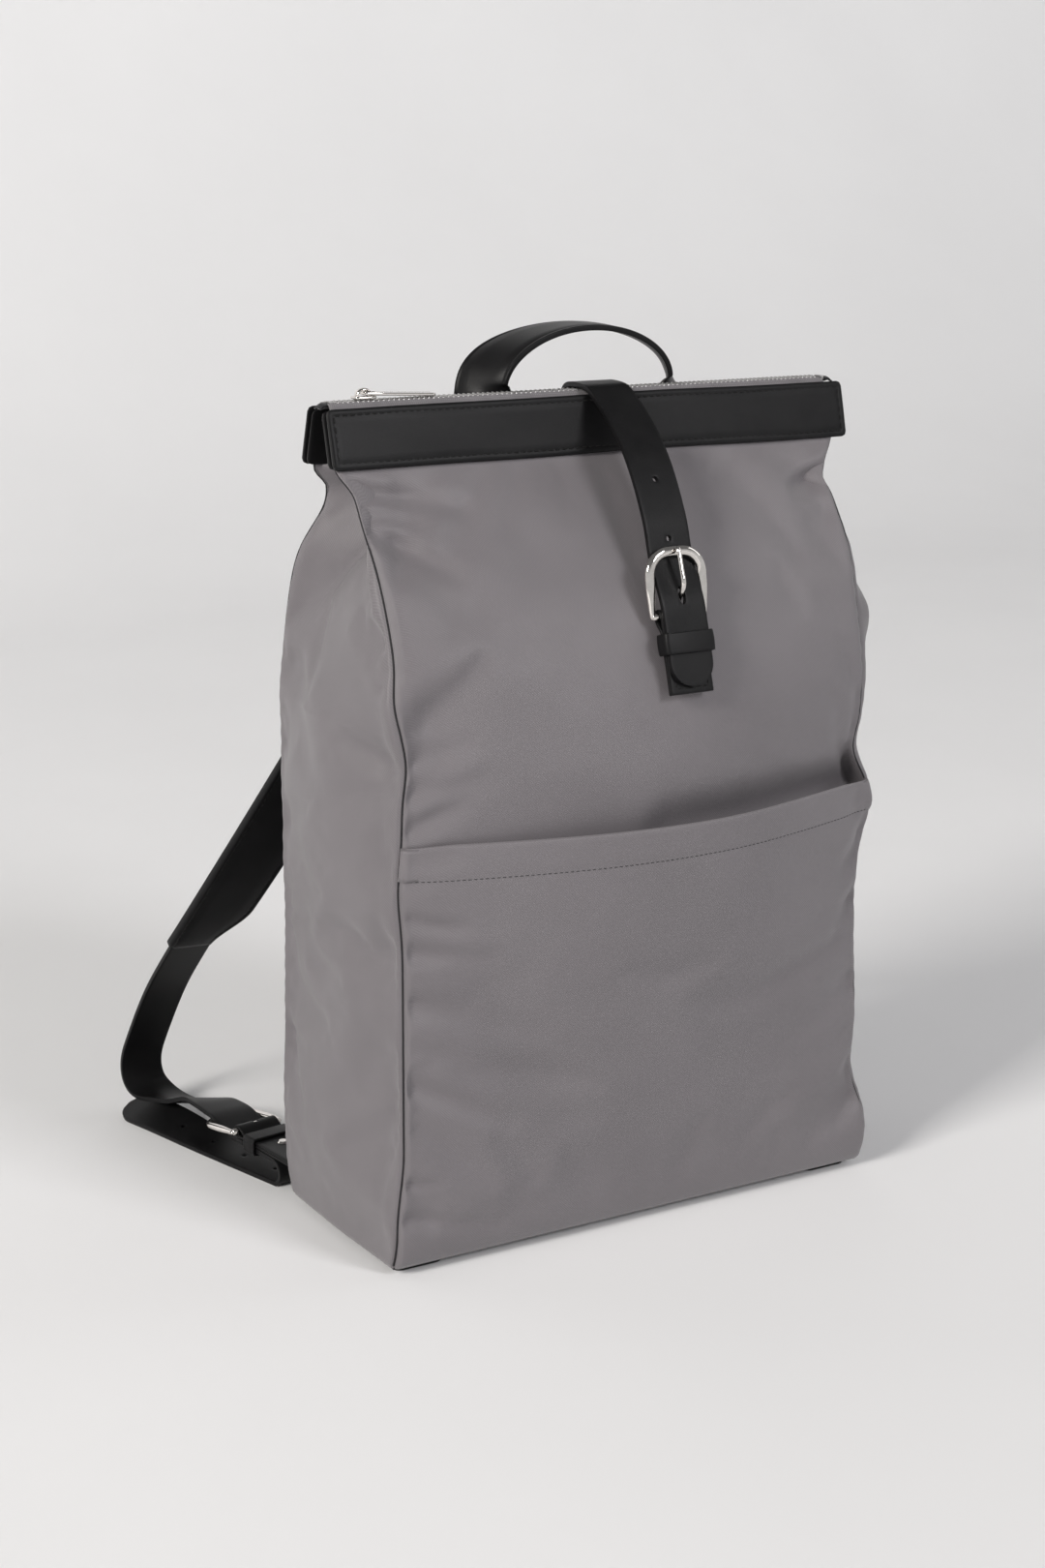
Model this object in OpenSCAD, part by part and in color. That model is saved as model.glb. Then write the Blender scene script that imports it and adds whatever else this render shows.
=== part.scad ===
// Zip-top daypack with leather bands, a buckled closure strap, a carry handle and two shoulder straps.
// The frame has +Z up, the front at -Y and its origin on the floor under the middle of the base.

/* [Body] */
// Width across the side seams
body_w = 300; // [270:1:330]
// Depth between the front seams and the back seams
body_d = 126; // [110:1:150]
// Height of the leather bands' top edges above the floor
body_h = 436.5; // [415:0.5:460]
// Height where the panels begin to lean in towards the bands
shoulder_z = 285; // [260:1:310]
// Thickness of the outer cloth
fabric_t = 1.5; // [1:0.1:2]
// How far the front panel bellies out
front_belly = 22; // [14:1:28]
// How far the back panel bellies out
back_belly = 5; // [2:1:10]
// How far each side panel bellies out
side_belly = 8; // [3:1:14]
// How far the front seams are drawn in at mid height
waist = 9; // [0:0.5:14]
// Depth of the inward fold at the top of each side panel
fold_depth = 26; // [12:1:36]
// How far the lower edges tuck in
corner_tuck = 6; // [2:1:9]
// Height over which the lower edges tuck in
tuck_h = 24; // [15:1:40]

/* [Base] */
// Height of the feet
foot_h = 3.5; // [3:0.5:9]
// Length of each foot
foot_l = 28; // [18:1:40]
// Width of each foot
foot_w = 14; // [10:1:20]
// Distance of each foot from the edges of the base
foot_inset = 4; // [2:1:12]
// Thickness of the stiff board in the base
board_t = 2.4; // [1.5:0.1:4]

/* [Front pocket] */
// Height of the pocket mouth above the floor
pocket_h = 229; // [180:1:250]
// Extra fullness of the pocket at its mouth
pocket_room = 11; // [9:1:18]
// Depth of the turned hem at the mouth
hem_h = 16; // [10:1:24]

/* [Inside] */
// Thickness of the lining
lining_t = 1; // [0.8:0.1:1.6]
// Space between the shell and the lining
lining_gap = 3; // [2:0.5:5]
// Thickness of the foam behind the back panel
foam_t = 5; // [3:0.5:8]
// Width of the device sleeve
sleeve_w = 246; // [200:1:255]
// Height of the device sleeve
sleeve_h = 225; // [160:1:240]
// Room inside the device sleeve
sleeve_room = 9; // [5:0.5:14]
// Wall of the device sleeve
sleeve_wall = 2.5; // [1.5:0.5:4]

/* [Bands] */
// Height of each band along its slope
band_h = 30; // [24:1:36]
// Overhang of the bands past each side seam
band_over = 5; // [2:1:10]
// Thickness of the outer leather of a band
band_t = 2.2; // [1.6:0.1:3]
// Thickness of the inner leather of a band
facing_t = 1.6; // [1.2:0.1:2.4]
// Lean of each band from the vertical
band_tilt = 14.5; // [8:0.5:20]
// Gap between the two cloth layers at the top of the bands
band_gap = 16; // [14:0.5:22]
// Corner radius of the bands
band_r = 3; // [1:0.5:6]
// How far the closure lies behind the middle of the base
top_y = 4.5; // [0:0.5:10]

/* [Zip] */
// Height of the closed teeth above the bands
chain_rise = 2; // [1.5:0.5:6]
// Distance from one tooth to the next
tooth_pitch = 2.8; // [2.4:0.1:4]
// Height of a tooth
tooth_h = 2; // [1.6:0.1:2.6]
// Reach of a tooth from its bead
tooth_reach = 1.8; // [1.4:0.1:2.4]
// Thickness of the zip tape
tape_t = 0.8; // [0.6:0.1:1.2]
// Length of the slider body
slider_l = 12; // [9:0.5:16]
// Distance of the slider from the left side seam
slider_inset = 20.4; // [14:0.2:40]
// Length of the zip pull from its pin
pull_l = 39; // [25:1:50]
// Width of the zip pull
pull_w = 8.8; // [7:0.2:12]

/* [Straps and buckles] */
// Width of the buckled straps
strap_w = 25; // [20:1:30]
// Thickness of the buckled straps
strap_t = 2.5; // [2:0.1:3]
// Distance between adjusting holes
hole_pitch = 30; // [22:1:36]
// Diameter of an adjusting hole
hole_d = 3; // [2.5:0.1:4]
// Length of a buckle frame from its bar to its free end
frame_l = 32; // [28:1:38]
// Radius of a buckle's frame
wire_r = 2.3; // [1.8:0.1:2.8]
// Radius of a buckle's bar
bar_r = 1.75; // [1.4:0.05:2]
// Radius of the buckle prong
prong_r = 1.3; // [1:0.1:1.5]
// Thickness of one layer of a buckle tab
tab_t = 1.8; // [1.4:0.1:2.2]
// Width of a keeper loop
keeper_w = 11; // [8:0.5:14]

/* [Closure strap] */
// Sideways set of the closure strap and the carry handle
trim_x = 5; // [-8:1:8]
// How far the magnetic snap lies below the front band
snap_drop = 104; // [88:0.5:116]
// Radius of the snap
snap_r = 7; // [5:0.5:9]
// How far the strap bows clear of the bag
strap_bow = 7.5; // [5:0.5:12]
// Length of the strap past its buckle bar
closure_tip = 37; // [32:1:45]

/* [Carry handle] */
// Width of the handle
handle_w = 30; // [22:1:36]
// Thickness of the handle
handle_t = 3; // [2:0.2:4]
// Distance between the handle's feet
handle_span = 116; // [90:1:140]
// Rise of the handle above its feet
handle_rise = 31; // [22:1:45]
// Sideways set of the handle from the closure strap
handle_set = 1.4; // [-6:0.2:6]
// Splay of the handle's feet in plan
handle_splay = 30; // [10:1:40]

/* [Shoulder straps] */
// Width of the upper part of each shoulder strap
pad_w = 40; // [32:1:48]
// Thickness of the upper part of each shoulder strap
pad_t = 5; // [4:0.5:7]
// Distance of each upper end from the middle
pad_x = 52; // [40:1:70]
// How far the upper ends lie below the rear band
pad_drop = 9.5; // [8.5:0.5:24]
// Height of the lower buckle bars above the floor
anchor_z = 20; // [19:0.5:26]
// Distance of each lower end from the side seam
anchor_inset = 13; // [12.5:0.5:25]
// Length of each lower tab
anchor_l = 56; // [48:1:66]
// Outward turn of each lower tab
anchor_toe = 7.8; // [3:0.2:12]
// Length of the free end that lies on the floor
tail_l = 146; // [120:1:180]

/* [Hidden] */
$fn = 48;

// Clearances
seat = 0.3;
bar_play = 0.3;
pin_play = 0.1;
frame_play = 0.4;
frame_lift = 0.9;

// Rows and columns of the soft sheets
shell_rows = 21;
tuck_rows = 4;
pocket_rows = 8;
shell_cols = 20;
side_cols = 12;
foam_rows = 8;
foam_cols = 8;
lining_rows = 10;
lining_arc = 4;
lining_r = 12;

// Shaping of the soft sheets
lean_power = 1.6;
belly_power = 1.6;
fold_power = 0.7;
waist_back = 0.55;
fold_low = 0.68;
fold_high = 0.45;

// Bands
band_rise = band_h * cos(band_tilt);
band_z = body_h - band_rise;
band_l = body_w + 2 * band_over;
foot_dy = band_gap / 2 + band_h * sin(band_tilt);
front_foot_y = top_y - foot_dy;
rear_foot_y = top_y + foot_dy;
cloth_y = fabric_t / cos(band_tilt);
tongue_z = body_h - 4;
band_face_n = fabric_t / 2 + seat + band_t;
tape_n = -fabric_t / 2 - seat - tape_t / 2;
facing_n = tape_n - tape_t / 2 - seat;
facing_lift = 1.5;

// Base
base_z = foot_h;
board_z = base_z + fabric_t + seat;
board_edge = 3;
floor_z = board_z + board_t + seat;

// Zip
chain_z = body_h + chain_rise;
chain_top = chain_z + tooth_h / 2;
chain_l = body_w - 6;
tape_l = body_w + 2;
bead_w = 1;
row_gap = 1;
bead_in = row_gap / 2 + tooth_reach;
bead_out = bead_in + bead_w;
plate_t = 1.4;
plate_w = 2 * bead_out + 2.4;
sole_w = 2 * bead_out - 0.6;
post_t = 0.5;
slider_play = 0.4;
slider_x = -body_w / 2 + slider_inset;
crown_r = 3.6;
crown_wire = 1.1;
pin_r = 0.9;
pin_rise = 1.35;
pull_t = 1.5;
pull_arm = 7;
pull_droop = 3;
pin_z = chain_top + slider_play + plate_t + pin_rise;
stop_l = 2.4;
stop_w = 2.6;
tab_end_l = 5;

// Buckles, in a frame with t from the bar to the free end and n away from the strap
tab_in = bar_r + bar_play;
tab_r = tab_in + tab_t;
tab_back = tab_in - tab_t;
tab_merge = 8;
strap_over = tab_r + seat + strap_t / 2;
frame_rise = strap_t / 2 + frame_lift + wire_r;
frame_tilt = asin(frame_rise / frame_l);
frame_corner = 9;
leg_gap = 0.9;
leg_x = strap_w / 2 + leg_gap + wire_r;
prong_n = frame_rise + wire_r + frame_play + prong_r;
prong_eye = 3.4;
prong_wall = 1.3;
prong_foot = [7, 1.6];
prong_knee = 13.5;
prong_past = 2.4;
slot_w = 2 * prong_r + 1.4;
slot_l = 9.3;
slot_t = 8.85;
keeper_t = 1.6;
keeper_at = 9;
keeper_side = 0.5;

// Closure strap
snap_at = keeper_at + keeper_w + snap_r + 3;
snap_z = band_z - snap_drop;
stud_t = 1.4;
socket_t = 2;
snap_plate = 1;
snap_n = tab_back - stud_t - socket_t - 2 * seat;
crest_z = chain_top + 0.6 + strap_t / 2;
hinge_dy = -11;
hinge_drop = 0.8;
closure_tab_l = snap_at + snap_r + 3;
free_t = frame_l + 14;
strap_n = band_face_n + 1.5 * seat + strap_t / 2;
hinge_gap = 0.9;

// Carry handle
handle_n = band_face_n + seat + handle_t / 2;
handle_back = 8;
handle_y = top_y + foot_dy - band_h * sin(band_tilt) + handle_n * cos(band_tilt) + handle_back;
handle_z = body_h + 1.9;
handle_rings = 36;
handle_x = trim_x + handle_set;

// Shoulder straps, as offsets from the lower buckle bar
step_at = [-17, 36, 102];
pad_z = band_z - pad_drop;
pad_pull = 100;
pad_swing = 62;
lap_rings = 3;
fall_at = [
    [-21, 74, 66], [-26, 92, 32], [-28, 99, 14], [-25, 98, 0], [-20, 88, -7.5], [-13, 73, -7], [-7, 58, -2.5]
];
tail_turn = 16;
tail_roll = 18;
tail_ds = [0, 20, 40, 55, 70, 85, 100, 115];
curl_at = -38;
tip_hole = 50;
pad_rings = 20;

// Functions for the shell
function clamp01(v) = min(1, max(0, v));
function smooth(v) = let (c = clamp01(v)) c * c * (3 - 2 * c);
function lean(z) = pow(clamp01((z - shoulder_z) / (band_z - shoulder_z)), lean_power);
function tuck(z) = corner_tuck * pow(max(0, 1 - (z - base_z) / tuck_h), 2);
function along_band(z) = max(0, z - band_z) * tan(band_tilt);
function belly(z) = sin(180 * pow(clamp01((z - base_z) / (band_z - base_z)), belly_power));
function crown(x) = cos(180 * x / body_w);
function drawn_in(z) = smooth((z - base_z - tuck_h) / 45) * smooth((band_z + 4 - z) / 18);
function seam_k(z) = 1 - 2 * waist * drawn_in(z) / body_w;
function front_seam_y(z) =
    -body_d / 2 + tuck(z) + (front_foot_y - cloth_y / 2 + body_d / 2) * lean(z) + along_band(z);
function rear_seam_y(z) =
    body_d / 2 - tuck(z) - (body_d / 2 - rear_foot_y - cloth_y / 2) * lean(z) - along_band(z);
function front_y(x, z) = front_seam_y(z) - front_belly * belly(z) * crown(x);
function back_y(x, z) = rear_seam_y(z) + back_belly * belly(z) * crown(x);
function pocket_full(z) = pocket_room * sin(90 * clamp01((z - base_z) / (pocket_h - base_z)));
function pocket_y(x, z) = front_y(x, z) - seat - pocket_full(z) * crown(x);
function fold_reach(z) = fold_depth * pow(clamp01((z - shoulder_z) / (band_z - shoulder_z)), fold_power);
function fold_mid(z) = fold_low + (fold_high - fold_low) * lean(z);
function fold_shape(v, m) = v < m ? smooth(v / m) : smooth((1 - v) / (1 - m));
function side_y(v, z) =
    let (a = front_seam_y(z) + cloth_y + seat, b = rear_seam_y(z) - cloth_y - seat) a + (b - a) * v;
function side_x(v, z) =
    -body_w / 2 + waist * drawn_in(z) * (1 - smooth(v / waist_back))
    - side_belly * sin(180 * v) * belly(z) + fold_reach(z) * fold_shape(v, fold_mid(z));
function steps(a, b, n) = [for (i = [0:n]) a + (b - a) * i / n];
function unit(v) = v / norm(v);

// Smooth curve through a list of points
function spline_at(p, i, f) =
    let (a = p[max(0, i - 1)], b = p[i], c = p[i + 1], d = p[min(len(p) - 1, i + 2)])
    0.5 * (2 * b + (c - a) * f + (2 * a - 5 * b + 4 * c - d) * f * f + (3 * b - a - 3 * c + d) * f * f * f);
function spline(p, n) =
    concat([for (i = [0:len(p) - 2]) for (k = [0:n - 1]) spline_at(p, i, k / n)], [p[len(p) - 1]]);

// Direction of a path at each of its points
function heading(p, i) = unit(p[min(len(p) - 1, i + 1)] - p[max(0, i - 1)]);

// Outline of a strip of thickness t along a flat path
function strip_outline(p, t) =
    let (sides = [for (i = [0:len(p) - 1]) let (d = heading(p, i)) [-d[1], d[0]] * t / 2])
    concat(
        [for (i = [0:len(p) - 1]) p[i] + sides[i]],
        [for (i = [len(p) - 1:-1:0]) p[i] - sides[i]]
    );

// Ring of four corners around a point of a ribbon
function ribbon_ring(c, d, across, w, t) =
    let (a = unit(across - (across * d) * d), n = cross(a, d))
    [c + a * w / 2 + n * t / 2, c + a * w / 2 - n * t / 2, c - a * w / 2 - n * t / 2, c - a * w / 2 + n * t / 2];

// Rings of the round tip of a strap, past its last full ring
function round_tip(c, d, across) = [for (a = [30, 55, 75, 86])
    ribbon_ring(c + d * sin(a) * strap_w / 2, d, across, strap_w * cos(a), strap_t)];

// Ring of eight corners, with soft edges
function padded_ring(c, d, across, w, t) =
    let (a = unit(across - (across * d) * d), n = cross(a, d), e = t / 3)
    [for (q = [[1, 1, 1, 0], [1, 1, 0, 1], [1, -1, 0, 1], [1, -1, 1, 0],
               [-1, -1, 1, 0], [-1, -1, 0, 1], [-1, 1, 0, 1], [-1, 1, 1, 0]])
        c + a * q[0] * (w / 2 - e * q[2]) + n * q[1] * (t / 2 - e * q[3])];

// Closed sheet between an outer and an inner grid of points
module sheet(outer, inner) {
    rows = len(outer) - 1;
    cols = len(outer[0]) - 1;
    count = (rows + 1) * (cols + 1);
    points = concat([for (r = outer) each r], [for (r = inner) each r]);
    function at(r, c) = r * (cols + 1) + c;
    skins = [for (r = [0:rows - 1]) for (c = [0:cols - 1])
        let (a = at(r, c), b = at(r + 1, c), d = at(r + 1, c + 1), e = at(r, c + 1))
        each [[a, b, d], [a, d, e], [count + a, count + d, count + b], [count + a, count + e, count + d]]];
    low_high = [for (c = [0:cols - 1])
        let (a = at(0, c), b = at(0, c + 1), d = at(rows, c), e = at(rows, c + 1))
        each [[a, b, count + b], [a, count + b, count + a], [e, d, count + d], [e, count + d, count + e]]];
    left_right = [for (r = [0:rows - 1])
        let (a = at(r, 0), b = at(r + 1, 0), d = at(r, cols), e = at(r + 1, cols))
        each [[b, a, count + a], [b, count + a, count + b], [d, e, count + e], [d, count + e, count + d]]];
    polyhedron(points, concat(skins, low_high, left_right), convexity = 8);
}

// Solid through a list of closed rings
module loft(rings) {
    m = len(rings[0]);
    last = len(rings) - 1;
    sides = [for (r = [0:last - 1]) for (j = [0:m - 1])
        let (a = r * m + j, b = r * m + (j + 1) % m)
        each [[b, a, a + m], [b, a + m, b + m]]];
    caps = [[for (j = [0:m - 1]) j], [for (j = [m - 1:-1:0]) last * m + j]];
    polyhedron([for (r = rings) each r], concat(sides, caps), convexity = 10);
}

// Flat shape in the YZ plane, thickened along X
module along_x(w) {
    rotate([90, 0, 90])
        linear_extrude(w, center = true)
            children();
}

// Rectangle with round corners, its lower edge on the X axis
module round_rect(l, h, r) {
    translate([-l / 2 + r, 0])
        square([l - 2 * r, h]);
    translate([-l / 2, r])
        square([l, h - 2 * r]);
    for (x = [-1, 1]) {
        for (y = [r, h - r]) {
            translate([x * (l / 2 - r), y])
                circle(r);
        }
    }
}

// Frame of the front band, with Y up the slope and Z out of its cloth
module on_band() {
    translate([0, front_foot_y, band_z])
        rotate([90 - band_tilt, 0, 0])
            children();
}

// The same for the rear band
module to_rear() {
    translate([0, 2 * top_y, 0])
        mirror([0, 1, 0])
            children();
}

function band_pt(u, n) = [
    front_foot_y + u * sin(band_tilt) - n * cos(band_tilt),
    band_z + u * cos(band_tilt) + n * sin(band_tilt)
];
function rear_pt(u, n) = let (p = band_pt(u, n)) [2 * top_y - p[0], p[1]];

// Shell of cloth
tuck_zs = steps(base_z, base_z + tuck_h, tuck_rows);
function above_tuck(top, n) = [for (i = [1:n]) base_z + tuck_h + (top - base_z - tuck_h) * i / n];
shell_zs = concat(tuck_zs, above_tuck(band_z, shell_rows), [tongue_z]);
panel_xs = steps(-body_w / 2, body_w / 2, shell_cols);

module front_panel() {
    color("dimgray")
        sheet(
            [for (z = shell_zs) [for (x = panel_xs) [x * seam_k(z), front_y(x, z), z]]],
            [for (z = shell_zs) [for (x = panel_xs) [x * seam_k(z), front_y(x, z) + cloth_y, z]]]
        );
}

module back_panel() {
    xs = [for (x = panel_xs) -x];
    color("dimgray")
        sheet(
            [for (z = shell_zs) [for (x = xs) [x, back_y(x, z), z]]],
            [for (z = shell_zs) [for (x = xs) [x, back_y(x, z) - cloth_y, z]]]
        );
}

module left_gusset() {
    zs = concat([for (z = shell_zs) if (z < band_z - seat) z], [band_z - seat]);
    vs = steps(1, 0, side_cols);
    color("gray")
        sheet(
            [for (z = zs) [for (v = vs) [side_x(v, z), side_y(v, z), z]]],
            [for (z = zs) [for (v = vs) [side_x(v, z) + fabric_t, side_y(v, z), z]]]
        );
}

module right_gusset() {
    mirror([1, 0, 0])
        left_gusset();
}

module base_panel() {
    y0 = front_seam_y(base_z) + cloth_y + seat;
    y1 = rear_seam_y(base_z) - cloth_y - seat;
    w = body_w - 2 * (fabric_t + seat);
    color("dimgray")
        translate([-w / 2, y0, base_z])
            cube([w, y1 - y0, fabric_t]);
}

module front_pocket() {
    hem_z = pocket_h - hem_h;
    zs = concat(tuck_zs, above_tuck(hem_z - fabric_t, pocket_rows), [hem_z, pocket_h]);
    color("gray")
        sheet(
            [for (z = zs) [for (x = panel_xs) [x * seam_k(z), pocket_y(x, z) - cloth_y, z]]],
            [for (z = zs) [for (x = panel_xs)
                [x * seam_k(z), pocket_y(x, z) - (z < hem_z ? 0 : -min(cloth_y, pocket_full(z) * crown(x))), z]]]
        );
}

// Inside
module base_board() {
    y0 = front_seam_y(board_z) + cloth_y + board_edge;
    y1 = rear_seam_y(board_z) - cloth_y - board_edge;
    color("tan")
        translate([0, y0, board_z])
            linear_extrude(board_t)
                round_rect(body_w - 2 * (fabric_t + board_edge), y1 - y0, 8);
}

module back_foam() {
    zs = steps(base_z + tuck_h, shoulder_z, foam_rows);
    half = body_w / 2 - 10;
    xs = steps(half, -half, foam_cols);
    color("lightgray")
        sheet(
            [for (z = zs) [for (x = xs) [x, back_y(x, z) - cloth_y - 2 * seat, z]]],
            [for (z = zs) [for (x = xs) [x, back_y(x, z) - cloth_y - 2 * seat - foam_t, z]]]
        );
}

// Ring of the lining at a height: a rectangle with round corners
function lining_ring(z, inset, z_at) =
    let (
        half = body_w / 2 - waist * drawn_in(z) - fabric_t - lining_gap - fold_reach(z) - inset - lining_r,
        y0 = front_seam_y(z) + cloth_y + lining_gap + inset + lining_r,
        y1 = rear_seam_y(z) - cloth_y - lining_gap - foam_t * (1 - lean(z)) - inset - lining_r,
        corners = [[half, y1], [-half, y1], [-half, y0], [half, y0]]
    )
    [for (k = [0:3]) for (i = [0:lining_arc])
        let (a = 90 * (k + i / lining_arc))
        [corners[k][0] + lining_r * cos(a), corners[k][1] + lining_r * sin(a), z_at]];

module lining() {
    zs = concat([floor_z], steps(base_z + tuck_h, band_z - 8, lining_rows));
    outer = [for (z = zs) lining_ring(z, 0, z)];
    inner = [for (i = [len(zs) - 1:-1:0]) lining_ring(zs[i], lining_t, i == 0 ? zs[0] + lining_t : zs[i])];
    color("black")
        loft(concat(outer, inner));
}

module device_sleeve() {
    rear = body_d / 2 - cloth_y - lining_gap - foam_t - lining_t - seat;
    deep = sleeve_room + 2 * sleeve_wall;
    z0 = base_z + tuck_h + 6;
    color("darkslategray")
        difference() {
            translate([-sleeve_w / 2, rear - deep, z0])
                cube([sleeve_w, deep, sleeve_h]);
            translate([-sleeve_w / 2 + sleeve_wall, rear - deep + sleeve_wall, z0 + sleeve_wall])
                cube([sleeve_w - 2 * sleeve_wall, sleeve_room, sleeve_h]);
        }
}

module base_feet() {
    x = body_w / 2 - fabric_t - seat - foot_inset - foot_l / 2;
    y0 = front_seam_y(base_z) + cloth_y + foot_inset;
    y1 = rear_seam_y(base_z) - cloth_y - foot_inset - foot_w;
    color("black")
        for (sx = [-1, 1]) {
            for (y = [y0, y1]) {
                translate([sx * x, y, 0])
                    linear_extrude(foot_h)
                        round_rect(foot_l, foot_w, foot_w / 3);
            }
        }
}

// Leather bands, in two layers with the cloth and the zip tape between them
module band_leaf(n, t, lift) {
    translate([0, lift, n])
        linear_extrude(t)
            round_rect(band_l, band_h - lift, band_r);
}

module front_band() {
    color("black")
        on_band()
            band_leaf(fabric_t / 2 + seat, band_t, 0);
}

module front_band_facing() {
    color("black")
        on_band()
            band_leaf(facing_n - facing_t, facing_t, facing_lift);
}

module rear_band() {
    to_rear()
        front_band();
}

module rear_band_facing() {
    to_rear()
        front_band_facing();
}

// Zip
module zip_tape_front() {
    path = [
        band_pt(band_h / 2, tape_n),
        band_pt(band_h, tape_n),
        [top_y - bead_out - 2 * seat, chain_z]
    ];
    color("gray")
        along_x(tape_l)
            polygon(strip_outline(path, tape_t));
}

module zip_tape_rear() {
    to_rear()
        zip_tape_front();
}

module tooth_row(side, shift) {
    count = floor((chain_l - tooth_pitch) / tooth_pitch);
    x0 = -chain_l / 2;
    w = tooth_pitch / 2;
    teeth = [for (i = [0:count - 1])
        let (x = x0 + shift + i * tooth_pitch)
        each [[x, bead_in], [x, row_gap / 2], [x + w, row_gap / 2], [x + w, bead_in]]];
    outline = concat([[x0, bead_out], [x0, bead_in]], teeth, [[-x0, bead_in], [-x0, bead_out]]);
    translate([0, top_y, chain_z - tooth_h / 2])
        linear_extrude(tooth_h)
            polygon([for (p = outline) [p[0], side * p[1]]]);
}

module zip_teeth_front() {
    color("silver")
        tooth_row(-1, tooth_pitch / 4);
}

module zip_teeth_rear() {
    color("silver")
        tooth_row(1, 3 * tooth_pitch / 4);
}

module zip_stops() {
    x = chain_l / 2 + seat;
    color("silver") {
        for (side = [-1, 1]) {
            translate([-x - stop_l, top_y + side * (row_gap / 2 + stop_w / 2) - stop_w / 2, chain_z - tooth_h / 2])
                cube([stop_l, stop_w, tooth_h]);
        }
        translate([x, top_y - stop_w, chain_z - tooth_h / 2])
            cube([stop_l, 2 * stop_w, tooth_h]);
    }
}

module zip_ends() {
    x = chain_l / 2 + 2 * seat + stop_l;
    color("black")
        for (side = [-1, 1]) {
            translate([side * (x + tab_end_l / 2), 0, 0])
                along_x(tab_end_l)
                    polygon(strip_outline([
                        [top_y - bead_out, chain_z - tape_t / 2],
                        [top_y, chain_z],
                        [top_y + bead_out, chain_z - tape_t / 2]
                    ], tape_t));
        }
}

module zip_slider() {
    top = chain_top + slider_play;
    low = chain_z - tooth_h / 2 - slider_play - plate_t;
    color("silver")
        translate([slider_x, top_y, 0]) {
            translate([0, -plate_w / 2, top])
                linear_extrude(plate_t)
                    round_rect(slider_l, plate_w, 2);
            translate([0, -sole_w / 2, low])
                linear_extrude(plate_t)
                    round_rect(slider_l, sole_w, 2);
            translate([-slider_l / 2 + 1, -post_t / 2, low])
                cube([slider_l / 2, post_t, top + plate_t - low]);
            translate([0, 0, top + plate_t])
                rotate([90, 0, 0])
                    rotate_extrude(angle = 180)
                        translate([crown_r, 0])
                            circle(crown_wire);
        }
}

module zip_pull() {
    arm_y = crown_wire + 0.9;
    color("silver")
        translate([slider_x, top_y, pin_z])
        rotate([0, pull_droop, 0]) {
            rotate([90, 0, 0])
                cylinder(r = pin_r, h = pull_w - 1, center = true);
            for (side = [-1, 1]) {
                translate([0, side * (arm_y + pull_w / 2) / 2 - (pull_w / 2 - arm_y) / 2, -pull_t / 2])
                    cube([pull_arm + 1, pull_w / 2 - arm_y, pull_t]);
            }
            translate([pull_arm, 0, -pull_t / 2])
                rotate([0, 0, -90])
                    linear_extrude(pull_t)
                        round_rect(pull_w, pull_l - pull_arm, 1.6);
        }
}

// Pieces of a buckle
function strap_lift(t) = strap_over * smooth((frame_l - t) / (frame_l - 2));

module buckle_frame() {
    color("silver")
        rotate([frame_tilt, 0, 0]) {
            rotate([0, 90, 0])
                cylinder(r = bar_r, h = 2 * leg_x, center = true);
            for (side = [0, 1]) {
                mirror([side, 0, 0]) {
                    translate([leg_x, 0, 0])
                        sphere(bar_r);
                    translate([leg_x, 0, 0])
                        rotate([-90, 0, 0])
                            cylinder(r1 = bar_r, r2 = wire_r, h = frame_l - frame_corner);
                    translate([leg_x - frame_corner, frame_l - frame_corner, 0])
                        rotate_extrude(angle = 90)
                            translate([frame_corner, 0])
                                circle(wire_r);
                }
            }
            translate([0, frame_l, 0])
                rotate([0, 90, 0])
                    cylinder(r = wire_r, h = 2 * (leg_x - frame_corner), center = true);
        }
}

module buckle_prong() {
    reach = bar_r + pin_play + prong_wall / 2;
    path = spline([
        [reach, 0],
        prong_foot,
        [prong_knee, prong_n],
        [(prong_knee + frame_l) / 2, prong_n],
        [frame_l, prong_n],
        [frame_l + prong_past, prong_n - 0.9]
    ], 5);
    color("silver") {
        rotate([0, 90, 0])
            difference() {
                cylinder(r = bar_r + pin_play + prong_wall, h = prong_eye, center = true);
                cylinder(r = bar_r + pin_play, h = prong_eye + 1, center = true);
            }
        along_x(2 * prong_r)
            polygon(strip_outline(path, 2 * prong_r));
    }
}

// Slot in a strap for the prong, centred on the bar
module prong_slot() {
    deep = 4 * strap_over;
    half = (slot_l - slot_w) / 2;
    translate([0, slot_t, -deep / 2]) {
        for (side = [-1, 1]) {
            translate([0, side * half, 0])
                cylinder(d = slot_w, h = deep);
        }
        translate([-slot_w / 2, -half, 0])
            cube([slot_w, 2 * half, deep]);
    }
}

// Leather folded round the bar, with a notch for the prong
module buckle_tab(l) {
    notch = prong_eye + 2 * frame_play;
    color("black")
        difference() {
            union() {
                rotate([0, 90, 0])
                    cylinder(r = tab_r, h = strap_w, center = true);
                translate([-strap_w / 2, -l, tab_in])
                    cube([strap_w, l, tab_t]);
                along_x(strap_w)
                    polygon([
                        [0, -tab_r], [0, -tab_in], [-tab_merge, tab_in],
                        [-l, tab_in], [-l, tab_back], [-tab_merge, tab_back]
                    ]);
            }
            rotate([0, 90, 0])
                cylinder(r = tab_in, h = strap_w + 1, center = true);
            translate([-notch / 2, -tab_r - 1, -tab_r - 1])
                cube([notch, 2 * tab_r + 2, 2 * tab_r + 2]);
        }
}

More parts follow.
